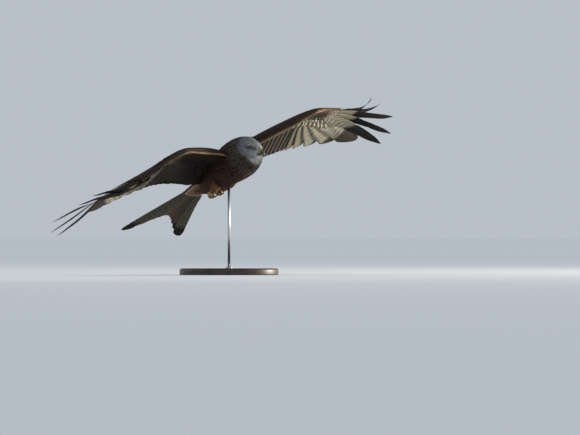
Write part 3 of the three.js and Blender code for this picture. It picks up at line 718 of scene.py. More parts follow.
def finishShader(tree, shader, color, height=None, strength=0.5, depth=0.0004):  # base colour and bump
    tree.links.new(color, shader.inputs["Base Color"])
    if height is not None:
        bump = addNode(tree, "ShaderNodeBump", Strength=strength, Distance=depth, Height=height)
        tree.links.new(bump.outputs[0], shader.inputs["Normal"])


def attribute(tree, name):
    return addNode(tree, "ShaderNodeAttribute", {"attribute_name": name}).outputs["Color"]


def noise(tree, scale, detail=3.0, coordinate=None):
    if coordinate is None:
        coordinate = addNode(tree, "ShaderNodeTexCoord").outputs["Object"]
    return addNode(tree, "ShaderNodeTexNoise", Vector=coordinate, Scale=scale, Detail=detail).outputs["Fac"]


number, colored = "NodeSocketFloat", "NodeSocketColor"


def makeBarbs():  # fine slanted lines of a vane, from its middle to its edges
    tree, given, result = newGroup(
        "featherBarbs",
        [("U", number, 0.5), ("V", number, 0.5), ("Lines", number, 30.0)],
        [("Barbs", number), ("FromShaft", number), ("Shaft", number), ("Rim", number)],
    )
    fromShaft = calc(tree, "ABSOLUTE", calc(tree, "SUBTRACT", given["U"], 0.5))
    slant = calc(tree, "SUBTRACT", given["V"], calc(tree, "MULTIPLY", fromShaft, 0.35))
    wave = calc(tree, "SINE", calc(tree, "MULTIPLY", slant, calc(tree, "MULTIPLY", given["Lines"], 6.283)))
    rim = calc(tree, "MAXIMUM", ramp(tree, fromShaft, 0.24, 0.46), ramp(tree, given["V"], 0.7, 0.93))
    tree.links.new(calc(tree, "MULTIPLY_ADD", wave, 0.5, 0.5), result["Barbs"])
    tree.links.new(fromShaft, result["FromShaft"])
    tree.links.new(ramp(tree, fromShaft, 0.02, 0.008), result["Shaft"])
    tree.links.new(rim, result["Rim"])
    return tree


def makeBarbShade():  # barbs and flecks make a colour lighter and darker
    tree, given, result = newGroup(
        "barbShade",
        [("Color", colored, (1, 1, 1, 1)), ("Barbs", number, 0.5), ("Fleck", number, 0.5),
         ("BarbDepth", number, 0.16), ("FleckDepth", number, 0.3), ("Base", number, 0.86)],
        [("Color", colored)],
    )
    flecked = calc(tree, "MULTIPLY_ADD", given["Fleck"], given["FleckDepth"], given["Base"])
    centred = calc(tree, "SUBTRACT", given["Barbs"], 0.5)
    barbAndPaintedLightGain = calc(tree, "MULTIPLY_ADD", centred, given["BarbDepth"], flecked)
    grey = addNode(tree, "ShaderNodeCombineColor", Red=barbAndPaintedLightGain, Green=barbAndPaintedLightGain, Blue=barbAndPaintedLightGain).outputs[0]
    tree.links.new(mixColor(tree, 1.0, given["Color"], grey, "MULTIPLY"), result["Color"])
    return tree


def makeMottle():  # blotches in the piece's own space
    tree, given, result = newGroup(
        "mottle",
        [("Scale", number, 300.0), ("Detail", number, 5.0), ("Low", number, 0.34), ("High", number, 0.66)],
        [("Fac", number), ("Mask", number)],
    )
    fac = noise(tree, given["Scale"], given["Detail"])
    tree.links.new(fac, result["Fac"])
    tree.links.new(ramp(tree, fac, given["Low"], given["High"]), result["Mask"])
    return tree


featherBarbs = makeBarbs()
barbShade = makeBarbShade()
mottle = makeMottle()


def barbsOf(tree, lines):
    node = addNode(tree, "ShaderNodeUVMap", {"uv_map": "vane"})
    u, v = addNode(tree, "ShaderNodeSeparateXYZ", i0=node.outputs[0]).outputs[:2]
    return u, v, placeGroup(tree, featherBarbs, U=u, V=v, Lines=lines)


def makeContour(name, streak, rim, lines=16.0):  # body, head and covert feathers
    material, tree, shader = blankMaterial(name, Roughness=0.78, Specular_IOR_Level=0.1)
    v, vane = barbsOf(tree, lines)[1:]
    fleck = noise(tree, 420.0)
    streakAcross = ramp(tree, vane["FromShaft"], streak * 0.62, streak * 0.3)
    streakMask = calc(tree, "MULTIPLY", streakAcross, ramp(tree, v, 0.12, 0.4))
    rimMask = calc(tree, "MULTIPLY", vane["Rim"], ramp(tree, fleck, 0.3, 0.6))
    rimMask = calc(tree, "MULTIPLY", rimMask, rim)
    color = mixColor(tree, rimMask, attribute(tree, "tint"), attribute(tree, "edge"))
    color = mixColor(tree, calc(tree, "MULTIPLY", streakMask, 0.85), color, attribute(tree, "mark"))
    shaded = placeGroup(
        tree, barbShade, Color=color, Barbs=vane["Barbs"], Fleck=fleck,
        BarbDepth=0.16, FleckDepth=0.3, Base=0.86,
    )
    finishShader(tree, shader, shaded[0], vane["Barbs"], 0.35, 0.0004)
    return material


flightForm = {"lines": 90.0, "bars": 15.0, "wobble": 1.1, "slant": -1.4, "shaft": (0.2, 0.15, 0.11)}


def makeFlight(name):  # long feathers: the plan attribute holds the bars' start and depth, and the dark tip
    material, tree, shader = blankMaterial(name, Roughness=0.66, Specular_IOR_Level=0.06)
    u, v, vane = barbsOf(tree, flightForm["lines"])
    own, barred, tipFrom = addNode(tree, "ShaderNodeSeparateColor", i0=attribute(tree, "plan")).outputs[:3]
    wobble = calc(tree, "MULTIPLY", noise(tree, 60.0, 4.0), flightForm["wobble"])
    place = calc(tree, "ADD", calc(tree, "MULTIPLY", v, flightForm["bars"]), wobble)
    aside = calc(tree, "ABSOLUTE", calc(tree, "SUBTRACT", u, 0.45))
    place = calc(tree, "ADD", place, calc(tree, "MULTIPLY", aside, flightForm["slant"]))
    wave = calc(tree, "SINE", calc(tree, "MULTIPLY", calc(tree, "ADD", place, own), 6.283))
    bars = calc(tree, "MULTIPLY", ramp(tree, wave, 0.35, 0.9), barred)
    color = mixColor(tree, bars, attribute(tree, "tint"), attribute(tree, "mark"))
    tipMask = ramp(tree, calc(tree, "SUBTRACT", v, tipFrom), -0.03, 0.05)
    color = mixColor(tree, tipMask, color, attribute(tree, "edge"))
    color = mixColor(tree, calc(tree, "MULTIPLY", vane["Shaft"], 0.3), color, flightForm["shaft"])
    fleck = noise(tree, 300.0)
    shaded = placeGroup(
        tree, barbShade, Color=color, Barbs=vane["Barbs"], Fleck=fleck,
        BarbDepth=0.12, FleckDepth=0.35, Base=0.83,
    )
    finishShader(tree, shader, shaded[0], vane["Barbs"], 0.25, 0.0003)
    return material


def mottled(name, light, dark, scale, span=(0.34, 0.66), detail=5.0, bump=(0.5, 0.0004), **values):
    # two colours by blotches, soft without a span; light may name an attribute, bump is strength and depth
    material, tree, shader = blankMaterial(name, **values)
    low, high = span or (0, 1)
    blotch = placeGroup(tree, mottle, Scale=scale, Detail=detail, Low=low, High=high)
    if isinstance(light, str):
        light = attribute(tree, light)
    color = mixColor(tree, blotch["Mask" if span else "Fac"], light, dark)
    finishShader(tree, shader, color, blotch["Fac"] if bump else None, *bump)
    return material


bodyMaterial = makeContour("bodyFeathers", 0.5, 0.75)
headMaterial = makeContour("headFeathers", 0.4, 0.5, 8.0)
covertMaterial = makeContour("covertFeathers", 0.22, 0.8, 22.0)
flightMaterial = makeFlight("flightFeathers")
print("materials made")

# Skin: one mesh under all feathers

skinForm = {
    "inset": 4.0,
    "wingInset": 1.5,
    "voxel": 0.003,
    "brow": [  # place in the head's frame and girth
        ((20, 12, 9), 1.4), ((20.4, 4, 11.2), 2.6), ((18.2, -4.5, 11.4), 2.9), ((14, -12, 9.6), 2.2),
        ((9.4, -19.5, 6.6), 1.2),
    ],
    "thigh": [  # middle, half width and half height
        ((34, 40, -30), 15, 14), ((31, 62, -35), 16, 16), ((25, 84, -38), 12, 12), ((19, 96, -41), 7, 7),
    ],
    "tailRoot": [
        ((-20, 15), (-20, -29), 20), ((12, 10), (12, -21), 21), ((34, 4), (34, -10), 22),
        ((56, 0.5), (56, -2), 18),
    ],
    "wingShares": (0.03, 0.07, 0.13, 0.2, 0.28, 0.36),
    "wingOuts": (12, 30, 60, 90, 120, 150, 180, 210, 240, 262, 284, 305, 330, 360, fleshEnd),
}
tailRootTop = curve([(-6, 16), (12, 12), (34, 6), (52, 2), (70, 1)])
tailRootLow = curve([(-6, -30), (12, -24), (34, -13), (52, -4), (70, -3)])


def joinParts(name, parts, materials=()):  # parts are (points in the kite's frame, faces, material index)
    vertices, faces, slots, count = [], [], [], 0
    for points, quads, slot in parts:
        vertices.append(np.asarray(points, float))
        faces += [[int(i) + count for i in f] for f in quads]
        slots += [slot] * len(quads)
        count += len(points)
    piece = newMesh(name, toRow(np.concatenate(vertices)), faces, materials)
    piece.data.polygons.foreach_set("material_index", slots)
    turnOut(piece)
    return piece


def tailField(out, back):  # the spread tail's shallow arch
    return -0.0009 * out * out - 0.00002 * back * back


def tailSkin(under):  # a = out, b = back, over or under the tail's root
    rise, lay = (tailRootLow, -3.0) if under else (tailRootTop, 2.4)

    def at(a, b):
        arch = np.sqrt(np.clip(1 - (a / 27) ** 2, 0, 1))
        bulge = np.where(b < 60, rise(np.minimum(b, 60)) * arch, 0)
        up = tailField(a, b) + np.where(np.abs(bulge) > abs(lay), bulge, lay)
        return fromTail(np.stack(np.broadcast_arrays(a, b, up), -1))

    return at


def thighSurface(side):  # a = place along the thigh, b = angle round it
    rows = [(*middle, half, tall) for middle, half, tall in skinForm["thigh"]]
    x, y, z, half, tall = (curve(enumerate(values)) for values in zip(*rows))

    def at(a, b):
        return np.stack([side * x(a) + half(a) * np.cos(b), y(a) + 0 * b, z(a) + tall(a) * np.sin(b)], -1)

    return at


def wingRings(wing):  # flesh of a wing: rings from the body out, each over the top and back below
    wrap = wingWrap(wing)
    shares = np.array(skinForm["wingShares"])
    rings = []
    for out in skinForm["wingOuts"]:
        arcs = np.concatenate([[0], arcAt(np.full(len(shares), out, float), shares)])
        top = wrap(np.full(len(arcs), out, float), arcs)
        low = wrap(np.full(len(arcs) - 1, out, float), -arcs[:0:-1])
        top[1:, 2] -= skinForm["wingInset"]
        low[:, 2] += skinForm["wingInset"]
        rings.append(np.concatenate([top, low]))
    return np.concatenate(rings), ringFaces(len(rings), len(rings[0]))


def makeSkin():
    parts = [loftMesh(bodyLoft(-skinForm["inset"]), bodyEnd, 48, 97)]
    for side in (1, -1):
        path = [fromHead(np.array(spot) * (side, 1, 1)) for spot, girth in skinForm["brow"]]
        parts.append(tubeMesh(path, [girth for spot, girth in skinForm["brow"]], 10, hint=(0, 0, 1)))
    for wing in wings.values():
        parts.append(wingRings(wing))
        parts.append(loftMesh(thighSurface(wing["side"]), 3, 24, 13))
    parts.append(loftMesh(loftSurface(skinForm["tailRoot"], fromTail), 3, 32, 16))
    piece = joinParts("kiteSkin", [(points, faces, 0) for points, faces in parts])
    for kind, settings in (
        ("REMESH", {"mode": "VOXEL", "voxel_size": skinForm["voxel"]}),
        ("SMOOTH", {"factor": 0.5, "iterations": 5}),
    ):
        modifier = piece.modifiers.new(kind, kind)
        for name, value in settings.items():
            setattr(modifier, name, value)
    mesh = bpy.data.meshes.new_from_object(piece.evaluated_get(bpy.context.evaluated_depsgraph_get()))
    piece.modifiers.clear()
    piece.data = mesh
    mesh.name = "kiteSkin"
    print("skin", len(mesh.polygons), "faces")
    return piece


skin = makeSkin()

# Regions: a surface, how its roots lie in the bake map, and its look

regions = {}


def addRegion(name, surface, along, look, island=None):
    island = island or name
    regions[name] = {
        "surface": surface,
        "place": lambda a, b: bakePlace(island, *along(a, b)),
        "look": look,
        "island": island,
    }


def alongWing(a, b):
    return a / 440, np.abs(b) / 170


def alongTail(a, b):
    return a / 60 + 0.5, b / 130


def addWingRegions(side, wing):
    wrap = wingWrap(wing)

    def overLook(a, b):
        return topLook(a, np.abs(b) / chord(a))

    def underLook(a, b):
        # the under side gets the wing's gain of painted light and painted shade
        return lowLook(a, np.abs(b) / chord(a), wing["barbAndPaintedLightGain"])

    addRegion("top" + side, wrap, alongWing, overLook)
    addRegion("low" + side, wrap, alongWing, underLook)
    thigh = thighSurface(wing["side"])
    addRegion("leg" + side, thigh, lambda a, b: (b / fullTurn % 1, a / 3), legLook, "leg")


addRegion("body", bodySurface, lambda a, b: ((b + math.pi / 2) / fullTurn % 1, a / bodyEnd), bodyLook)
for side, wing in wings.items():
    addWingRegions(side, wing)
addRegion("tailTop", tailSkin(False), alongTail, tailTopLook)
addRegion("tailLow", tailSkin(True), alongTail, tailLowLook)


def skinSamples():  # a dense grid of places on every region
    grids = {"body": (np.linspace(0, bodyEnd, 97), circle(60))}
    for name in ("tailTop", "tailLow"):
        grids[name] = (np.linspace(-24, 24, 14), np.linspace(0, 60, 16))
    for side in wings:
        grids["top" + side] = (np.linspace(30, 400, 80), np.linspace(0, 110, 26))
        grids["low" + side] = (np.linspace(30, 400, 80), np.linspace(-110, -1, 26))
        grids["leg" + side] = (np.linspace(0, 3, 14), circle(18))
    return {name: [g.ravel() for g in np.meshgrid(*pair, indexing="ij")] for name, pair in grids.items()}


def dressSkin(material):  # colour and bake place of the nearest sample
    samples = skinSamples()
    names = list(samples)
    trees, colors, places = {}, {}, {}
    everything = KDTree(sum(len(a) for a, b in samples.values()))
    owner = []
    for index, name in enumerate(names):
        a, b = samples[name]
        points = toRow(regions[name]["surface"](a, b))
        colors[name] = np.asarray(regions[name]["look"](a, b)[0])
        places[name] = regions[name]["place"](a, b)
        trees[name] = KDTree(len(a))
        for i, p in enumerate(points):
            trees[name].insert(p, i)
            everything.insert(p, len(owner))
            owner.append((index, i))
        trees[name].balance()
    everything.balance()
    mesh = skin.data
    spots = np.zeros(len(mesh.vertices) * 3)
    mesh.vertices.foreach_get("co", spots)
    spots = spots.reshape(-1, 3)
    nearest = [owner[everything.find(p)[1]] for p in spots]
    setColor(mesh, "tint", np.array([colors[names[n]][i] for n, i in nearest]) * 0.8)
    layer = mesh.uv_layers.new(name="OFBake")
    for face in mesh.polygons:
        home = nearest[face.vertices[0]][0]
        found = []
        for v in face.vertices:
            own, i = nearest[v]
            if own != home:
                i = trees[names[home]].find(spots[v])[1]
            found.append(places[names[home]][i])
        found = np.array(found)
        wide = bakeIslands[regions[names[home]]["island"]][2]
        if np.ptp(found[:, 0]) > wide / 2:
            found[found[:, 0] < found[:, 0].max() - wide / 2, 0] += wide
        for loop, place in zip(face.loop_indices, found):
            layer.data[loop].uv = place
    mesh.materials.append(material)


skinMaterial = mottled(
    "underDown", "tint", (0.03, 0.02, 0.016), 500.0, (0.3, 0.7), 4.0, (0.6, 0.0008),
    Roughness=0.9, Specular_IOR_Level=0.15,
)
dressSkin(skinMaterial)
keep(skin, "plumage", "torso", "neck", "leg_left", "leg_right")
skinTree = BVHTree.FromObject(skin, bpy.context.evaluated_depsgraph_get())
print("skin dressed")


def skinGap(points):  # how far each point stands out of the skin in millimetres, below zero inside it
    gaps = np.zeros(len(points))
    for i, p in enumerate(toRow(points)):
        spot, normal, face, distance = skinTree.find_nearest(Vector(p))
        gaps[i] = math.copysign(distance, (Vector(p) - spot).dot(normal)) / mm
    return gaps


def plantRegion(coat, name, a, b, way, size, out=1, buriedBy=None, snapTo=None, **settings):
    # buriedBy leaves out roots deeper in the skin than that, snapTo lifts the others clear of it
    where = regions[name]
    if buriedBy is not None:
        clear = skinGap(where["surface"](a, b)) >= -buriedBy
        a, b = a[clear], b[clear]
        way = np.broadcast_to(way, (len(clear),))[clear]
        size = [np.broadcast_to(s, (len(clear),))[clear] for s in size]
    if snapTo is not None:
        rise = np.maximum(snapTo - skinGap(where["surface"](a, b)), 0)
        settings["lift"] = [height + rise for height in settings["lift"]]
    way = np.broadcast_to(np.asarray(way, float), (len(a),))
    plant(coat, where["surface"], a, b, way, size, where["look"](a, b), where["place"], out, **settings)


# Body, neck, head and leg feathers

bodyForm = {
    "gap": 6.6, "row": 5.6, "length": 27, "half": 6.6,
    "neckFrom": 9.4,
    "head": ((9.1, 10.4, 3.2, 3.6), (10.4, 12, 2.5, 2.9), (12, 15.95, 1.7, 2.0)),  # from, to, row, gap
    "headRings": [9, 10.4, 12, 13.5, 16],
    "headLength": [17, 11, 6.4, 4.4, 2.6],
    "headHalf": [3.2, 2.5, 1.6, 1.15, 0.75],
}
ringLength = curve(enumerate(
    (0, 20, 46, 74, 112, 152, 188, 220, 245, 264, 279, 291, 303, 316, 325, 332, 337)
))
bodyHalf = curve(enumerate([half for top, low, half in trunk[:11]] + [30, 25, 20, 15.5, 11.8, 9]))


def rowsAlong(low, high, gap):  # section numbers of rows spaced evenly along the body
    table = np.linspace(0, bodyEnd, 800)
    start, end = float(ringLength(low)), float(ringLength(high))
    return np.interp(np.arange(start, end, gap), ringLength(table), table)


def scatterBody(low, high, row, gap):
    span = (-math.pi / 2, 1.5 * math.pi)
    return scatter(rowsAlong(low, high, row), lambda a: gap / float(bodyHalf(a)), lambda a: span)


def dressBody():
    coat = Coat("bodyCoat")
    a, b = scatterBody(0, bodyForm["neckFrom"], bodyForm["row"], bodyForm["gap"])
    longer = np.interp(a, [0, 2, 7, 9.5], [1.1, 1.15, 1, 0.66]) * rng.uniform(0.85, 1.15, len(a))
    wider = np.interp(a, [0, 6, 9.5], [1.05, 1, 0.56])
    size = (bodyForm["length"] * longer, bodyForm["half"] * wider)
    way = math.pi + rng.normal(0, 0.12, len(a))
    plantRegion(coat, "body", a, b, way, size, out=-1, buriedBy=6, lift=(0.2, 2.2), shape="lance", ridge=0.07)
    return coat.build(bodyMaterial)


def dressHead():
    coat = Coat("headCoat")
    stretches = [scatterBody(*stretch) for stretch in bodyForm["head"]]
    a, b = (np.concatenate(values) for values in zip(*stretches))
    own = toHead(bodySurface(a, b))
    nearEye = np.hypot((np.abs(own[:, 0]) - 18.5) * 0.8, np.hypot(own[:, 1] + 5.2, own[:, 2] - 4.4)) < 6.6
    mouth = (own[:, 1] < -21.5) & (own[:, 2] < 11.4) & (own[:, 2] > -12) & (np.abs(own[:, 0]) < 8)
    bare = nearEye | mouth
    a, b = a[~bare], b[~bare]
    length = np.interp(a, bodyForm["headRings"], bodyForm["headLength"]) * rng.uniform(0.85, 1.15, len(a))
    size = (length, np.interp(a, bodyForm["headRings"], bodyForm["headHalf"]))
    way = math.pi + rng.normal(0, 0.13, len(a))
    plantRegion(coat, "body", a, b, way, size, out=-1, snapTo=0.5, lift=(0.1, 0.9), shape="lance", ridge=0.1)
    return coat.build(headMaterial)


def dressLegs():
    coat = Coat("legCoat")
    for side in wings:
        a, b = scatter(np.linspace(0.1, 2.7, 12), lambda row: 0.42, lambda row: (0, fullTurn))
        taper = np.interp(a, [0, 3], [1, 0.6])
        way = rng.normal(0, 0.1, len(a))
        size, outward = (22 * taper, 6 * taper), wings[side]["side"]
        plantRegion(coat, "leg" + side, a, b, way, size, out=outward, buriedBy=5, lift=(0.2, 2.0))
    return coat.build(bodyMaterial)


keep(dressBody(), "plumage")
keep(dressHead(), "crown", "head")
keep(dressLegs(), "plumage")

# Wing coverts, over and under

# lie of the coverts in degrees from straight out
lie = curve([(20, 97), (150, 92), (240, 82), (284, 66), (330, 42), (380, 24), (430, 12)])
covertRows = {  # share of the chord, length, half width, spacing out, lift at root and tip
    "top": [
        (0.0, 5, 1.8, 2.3, 0.1, 0.5), (0.003, 6.5, 2, 2.7, 0.1, 0.6), (0.0065, 8, 2.3, 3.1, 0.1, 0.6),
        (0.01, 9, 2.4, 3.4, 0.1, 0.7), (0.024, 11, 2.9, 4, 0.1, 0.9), (0.04, 13, 3.4, 4.6, 0.2, 1),
        (0.058, 15, 3.8, 5.2, 0.2, 1.1), (0.078, 16, 4.2, 5.8, 0.2, 1.2), (0.1, 18, 4.7, 6.4, 0.2, 1.3),
        (0.124, 20, 5.2, 7, 0.2, 1.5), (0.15, 22, 5.8, 7.8, 0.3, 1.6), (0.178, 25, 6.4, 8.6, 0.3, 1.8),
        (0.21, 29, 7.2, 9.6, 0.3, 2), (0.25, 34, 8.4, 11, 0.4, 2.3), (0.295, 42, 10, 12.6, 0.4, 2.6),
        (0.35, 56, 11.5, 14.2, 0.5, 2.8),
    ],
    "low": [
        (0.0008, 6, 1.8, 2.6, 0.1, 0.5), (0.004, 7, 2.1, 3, 0.1, 0.6), (0.0075, 8, 2.2, 3.2, 0.1, 0.6),
        (0.014, 9, 2.5, 3.6, 0.1, 0.7), (0.03, 11, 3, 4.4, 0.1, 0.9), (0.05, 14, 3.8, 5.4, 0.2, 1.1),
        (0.075, 17, 4.6, 6.4, 0.2, 1.2), (0.105, 20, 5.4, 7.4, 0.2, 1.4), (0.14, 23, 6.2, 8.4, 0.3, 1.5),
        (0.18, 27, 7.2, 9.8, 0.3, 1.7), (0.225, 32, 8.4, 11, 0.3, 1.8), (0.275, 38, 9.6, 12.4, 0.4, 1.9),
        (0.33, 46, 11, 14, 0.4, 1.9),
    ],
}
handCoverts = (  # share of the chord, length, half width
    (0.3, 62, 10), (0.2, 66, 9.5), (0.12, 68, 9), (0.055, 66, 8), (0.02, 60, 6),
)


def dressWing(side, under):
    coat = Coat("wing" + side + ("Under" if under else "Over") + "Coat")
    layer = "low" if under else "top"
    for index, (share, length, half, gap, root, tip) in enumerate(covertRows[layer][::-1]):
        a = np.arange(44 + gap * 0.5 * (index % 2), 398, gap)
        a = a + rng.normal(0, 0.1, len(a)) * gap
        if share > 0.009:
            b = arcAt(a, share + rng.normal(0, 0.002, len(a)))
        else:
            b = noseArc(a) * share / 0.01 + 0.05  # round the lead edge
        hand = smooth(290, 380, a)
        way = (lie(a) + rng.normal(0, 2.5, len(a))) * degree
        if under:
            b, way = -b, -way
        size = (length * (1 + hand * (0.9 if share > 0.2 else 0.25)), half * (1 - 0.15 * hand))
        plantRegion(
            coat, layer + side, a, b, way, size, out=wings[side]["side"], buriedBy=9 if share > 0.1 else None,
            lift=(root, tip), shape="flight" if length > 35 else "round", ridge=0.045,
        )
    return coat.build(covertMaterial)


def dressHand(side):  # long primary coverts that run out along the hand
    coat = Coat("hand" + side + "OverCoat")
    for index, (share, length, half) in enumerate(handCoverts):
        a = np.arange(300 + 4 * index, 389, 9.0)
        b = np.maximum(arcAt(a, share + rng.normal(0, 0.004, len(a))), 0.3)
        way = (mix(lie(a), 12 + 40 * share, smooth(310, 370, a)) + rng.normal(0, 1.5, len(a))) * degree
        plantRegion(
            coat, "top" + side, a, b, way, (length, half), out=wings[side]["side"],
            lift=(0.6, 2.6 - 0.3 * index), shape="flight", ridge=0.045,
        )
    return coat.build(covertMaterial)


for side in wings:
    keep(dressHand(side), "wing")
    keep(dressWing(side, False), "wing")
    keep(dressWing(side, True), "wing")

# Scapulars over the joint of wing and body, axillaries under it

def dressShoulders():
    coat = Coat("shoulderCoat")
    count = 7
    for side, wing in wings.items():
        for out, length in ((38, 30), (50, 38), (62, 46), (74, 52), (86, 54)):
            a = np.full(count, out, float) + rng.normal(0, 1.5, count)
            b = arcAt(a, np.linspace(0.1, 0.5, count) + 0.02 * (out % 4))
            way = (95 + rng.normal(0, 4, count)) * degree
            plantRegion(coat, "top" + side, a, b, way, (length, 10.0), out=wing["side"], lift=(2.5, 7.0))
            b = -arcAt(a, np.linspace(0.14, 0.5, count))
            way = (-95 + rng.normal(0, 4, count)) * degree
            plantRegion(coat, "low" + side, a, b, way, (length, 9.0), out=wing["side"], lift=(0.5, 2.5))
    return coat.build(covertMaterial)


keep(dressShoulders(), "wing")

# Flight feathers: fine vanes with their own shaft, in pairs of faces

vaneForm = {
    "rows": np.concatenate([np.linspace(0, 0.86, 27), np.linspace(0.88, 1, 12)]),
    # trailing edge to lead edge, shaft at half
    "across": np.array([0, 0.12, 0.28, 0.44, 0.5, 0.56, 0.72, 0.88, 1.0]),
    "pastEdge": 2,  # how far tips may pass the wing's trailing edge
    "root": -3.5,  # height of roots and tips against the wing's layer
    "tip": -1.2,
}


def gridQuads(grid):
    return np.stack([grid[:-1, :-1], grid[1:, :-1], grid[1:, 1:], grid[:-1, 1:]], -1).reshape(-1, 4)


def gridBorder(grid):  # once round the edge, back to the start
    return np.concatenate([grid[:, 0], grid[-1, 1:], grid[-2::-1, -1], grid[0, -2:0:-1], grid[:1, 0]])


class Vanes(Coat):
    def __init__(self, name):
        super().__init__(name, "plan")

    def grow(self, place, feather, over, under, bakeAt):
        # place turns plan points (out, back), way along and way across into points
        # over and under are (tint, edge, mark, plan)
        root = np.array(feather["root"], float)
        run = np.array(feather["tip"], float) - root
        ahead = run / np.linalg.norm(run)
        towards = np.array([ahead[1], -ahead[0]])
        t = vaneForm["rows"][:, None]
        u = vaneForm["across"][None, :]
        wide = vaneWidth[feather["shape"]](t)
        for split in range(rng.integers(2, 5)):  # where the barbs part
            spot, depth = rng.uniform(0.3, 0.97), rng.uniform(0.04, 0.14)
            wide = wide * (1 - depth * np.exp(-((t - spot) / 0.012) ** 2))
        reach = np.where(u < 0.5, -feather["trail"] * (1 - 2 * u), feather["lead"] * (2 * u - 1))
        across = reach * wide
        aside = feather.get("bow", 0) * 4 * t * (1 - t)
        out = root[0] + run[0] * t + towards[0] * (aside + across)
        back = root[1] + run[1] * t + towards[1] * (aside + across)
        if feather.get("trimmed"):  # tips end along the wing's trailing edge
            past = back - trailBack(out) - vaneForm["pastEdge"]
            back = np.where(past > 0, trailBack(out) + vaneForm["pastEdge"] + 0.12 * past, back)
        points = place(out, back, t, across) + np.zeros(out.shape + (1,))
        shaft = np.exp(-(reach / 1.6) ** 2) * (1 - t) * 0.9
        thick = 0.16 + 0.3 * (1 - np.abs(2 * u - 1)) * (1 - 0.6 * t) + shaft
        sides = np.stack([points, points])
        sides[0, ..., 2] += thick - 0.02 * np.abs(across)
        sides[1, ..., 2] += -thick - 0.02 * np.abs(across)
        rows, columns = out.shape
        grid = np.arange(rows * columns).reshape(rows, columns)
        below = grid + rows * columns
        edge, low = gridBorder(grid), gridBorder(below)
        rim = np.stack([edge[1:], edge[:-1], low[:-1], low[1:]], -1)
        faces = np.concatenate([gridQuads(grid), gridQuads(below)[:, ::-1], rim])
        vane = np.broadcast_to(np.stack(np.broadcast_arrays(u, t), -1)[None], (2,) + out.shape + (2,))
        bake = bakeAt + (vane - 0.5) * np.array([patch, patch * 6])
        colors = [np.array(pair, float)[:, None, None, :] for pair in zip(over, under)]
        self.add(sides, faces, vane, bake, colors)

    def finishUp(self, material):
        piece = self.build(material)
        turnOut(piece)
        return piece


def bakeSpot(name, a, b):
    return regions[name]["place"](np.array([a], float), np.array([b], float))[0]


def onWing(out, share):
    return np.array([out, mix(leadBack(out), trailBack(out), share)])


def slopeAt(wing, root):  # slope of the wing's layer across a feather's root
    step = 8
    rise = wingUp(wing, root[0] + step, root[1] - step) - wingUp(wing, root[0] - step, root[1] + step)
    return rise / (2 * step * math.sqrt(2))


def layOn(wing, layer, lean):  # a feather that lies in the wing's layer
    def place(out, back, t, across):
        up = wingUp(wing, out, back) + mix(*layer, t) + lean * across
        return np.stack([wing["side"] * out, back, up], -1)

    return place


def hangFree(wing, root, finger):  # a finger leaves the layer and curls up at its end
    tip, height, curl, blade = finger
    level = wingUp(wing, *root) + vaneForm["root"]
    slope = slopeAt(wing, root)

    def place(out, back, t, across):
        bend = wing["arch"] * np.sin(math.pi * t) + curl * np.clip((t - 0.3) / 0.7, 0, 1) ** 2
        up = mix(level, height - curl, t) + bend + mix(slope, blade, smooth(0, 0.7, t)) * across
        up = mix(wingUp(wing, out, back) + vaneForm["root"], up, smooth(*wing["hug"], t)) + 0.1 * across
        return np.stack([wing["side"] * out, back, up], -1)

    return place


flightColors = {  # pale and tipFrom go from the wrist to the longest finger and on to the lead edge
    "secondaryOver": ((0.032, 0.023, 0.018), (0.06, 0.036, 0.024)),
    "secondaryOverEdge": (0.08, 0.055, 0.04),
    "secondaryUnder": ((0.044, 0.038, 0.03), (0.019, 0.013, 0.011)),
    "secondaryUnderEdge": (0.013, 0.01, 0.009),
    "secondaryUnderMark": (0.011, 0.009, 0.008),
    "primaryOver": (0.026, 0.019, 0.016),
    "pale": (
        (0.15, 0.14, 0.1), (0.22, 0.205, 0.15), (0.29, 0.27, 0.2), (0.34, 0.32, 0.235), (0.36, 0.34, 0.25),
        (0.33, 0.31, 0.22), (0.34, 0.32, 0.23), (0.3, 0.28, 0.21), (0.16, 0.14, 0.11), (0.08, 0.07, 0.055),
    ),
    "tipFrom": (0.95, 0.95, 0.93, 0.86, 0.74, 0.52, 0.42, 0.38, 0.3, 0.22),
    "innerTip": (0.05, 0.042, 0.035),
    "fingerTip": (0.005, 0.0045, 0.0045),
    "primaryMark": (0.09, 0.075, 0.055),
    "tailOver": ((0.36, 0.135, 0.045), (0.2, 0.085, 0.035)),
    "tailOverEdge": (0.24, 0.1, 0.04),
    "tailOverMark": (0.1, 0.045, 0.025),
    "tailUnder": ((0.14, 0.095, 0.06), (0.07, 0.062, 0.046)),
    "tailUnderEdge": ((0.09, 0.06, 0.04), (0.006, 0.005, 0.005)),
    "tailUnderMark": (0.035, 0.025, 0.019),
}
secondaryCount = 15
primaryCount = 10
innerCount = 5  # primaries that lie in the wing's layer, the others are free fingers


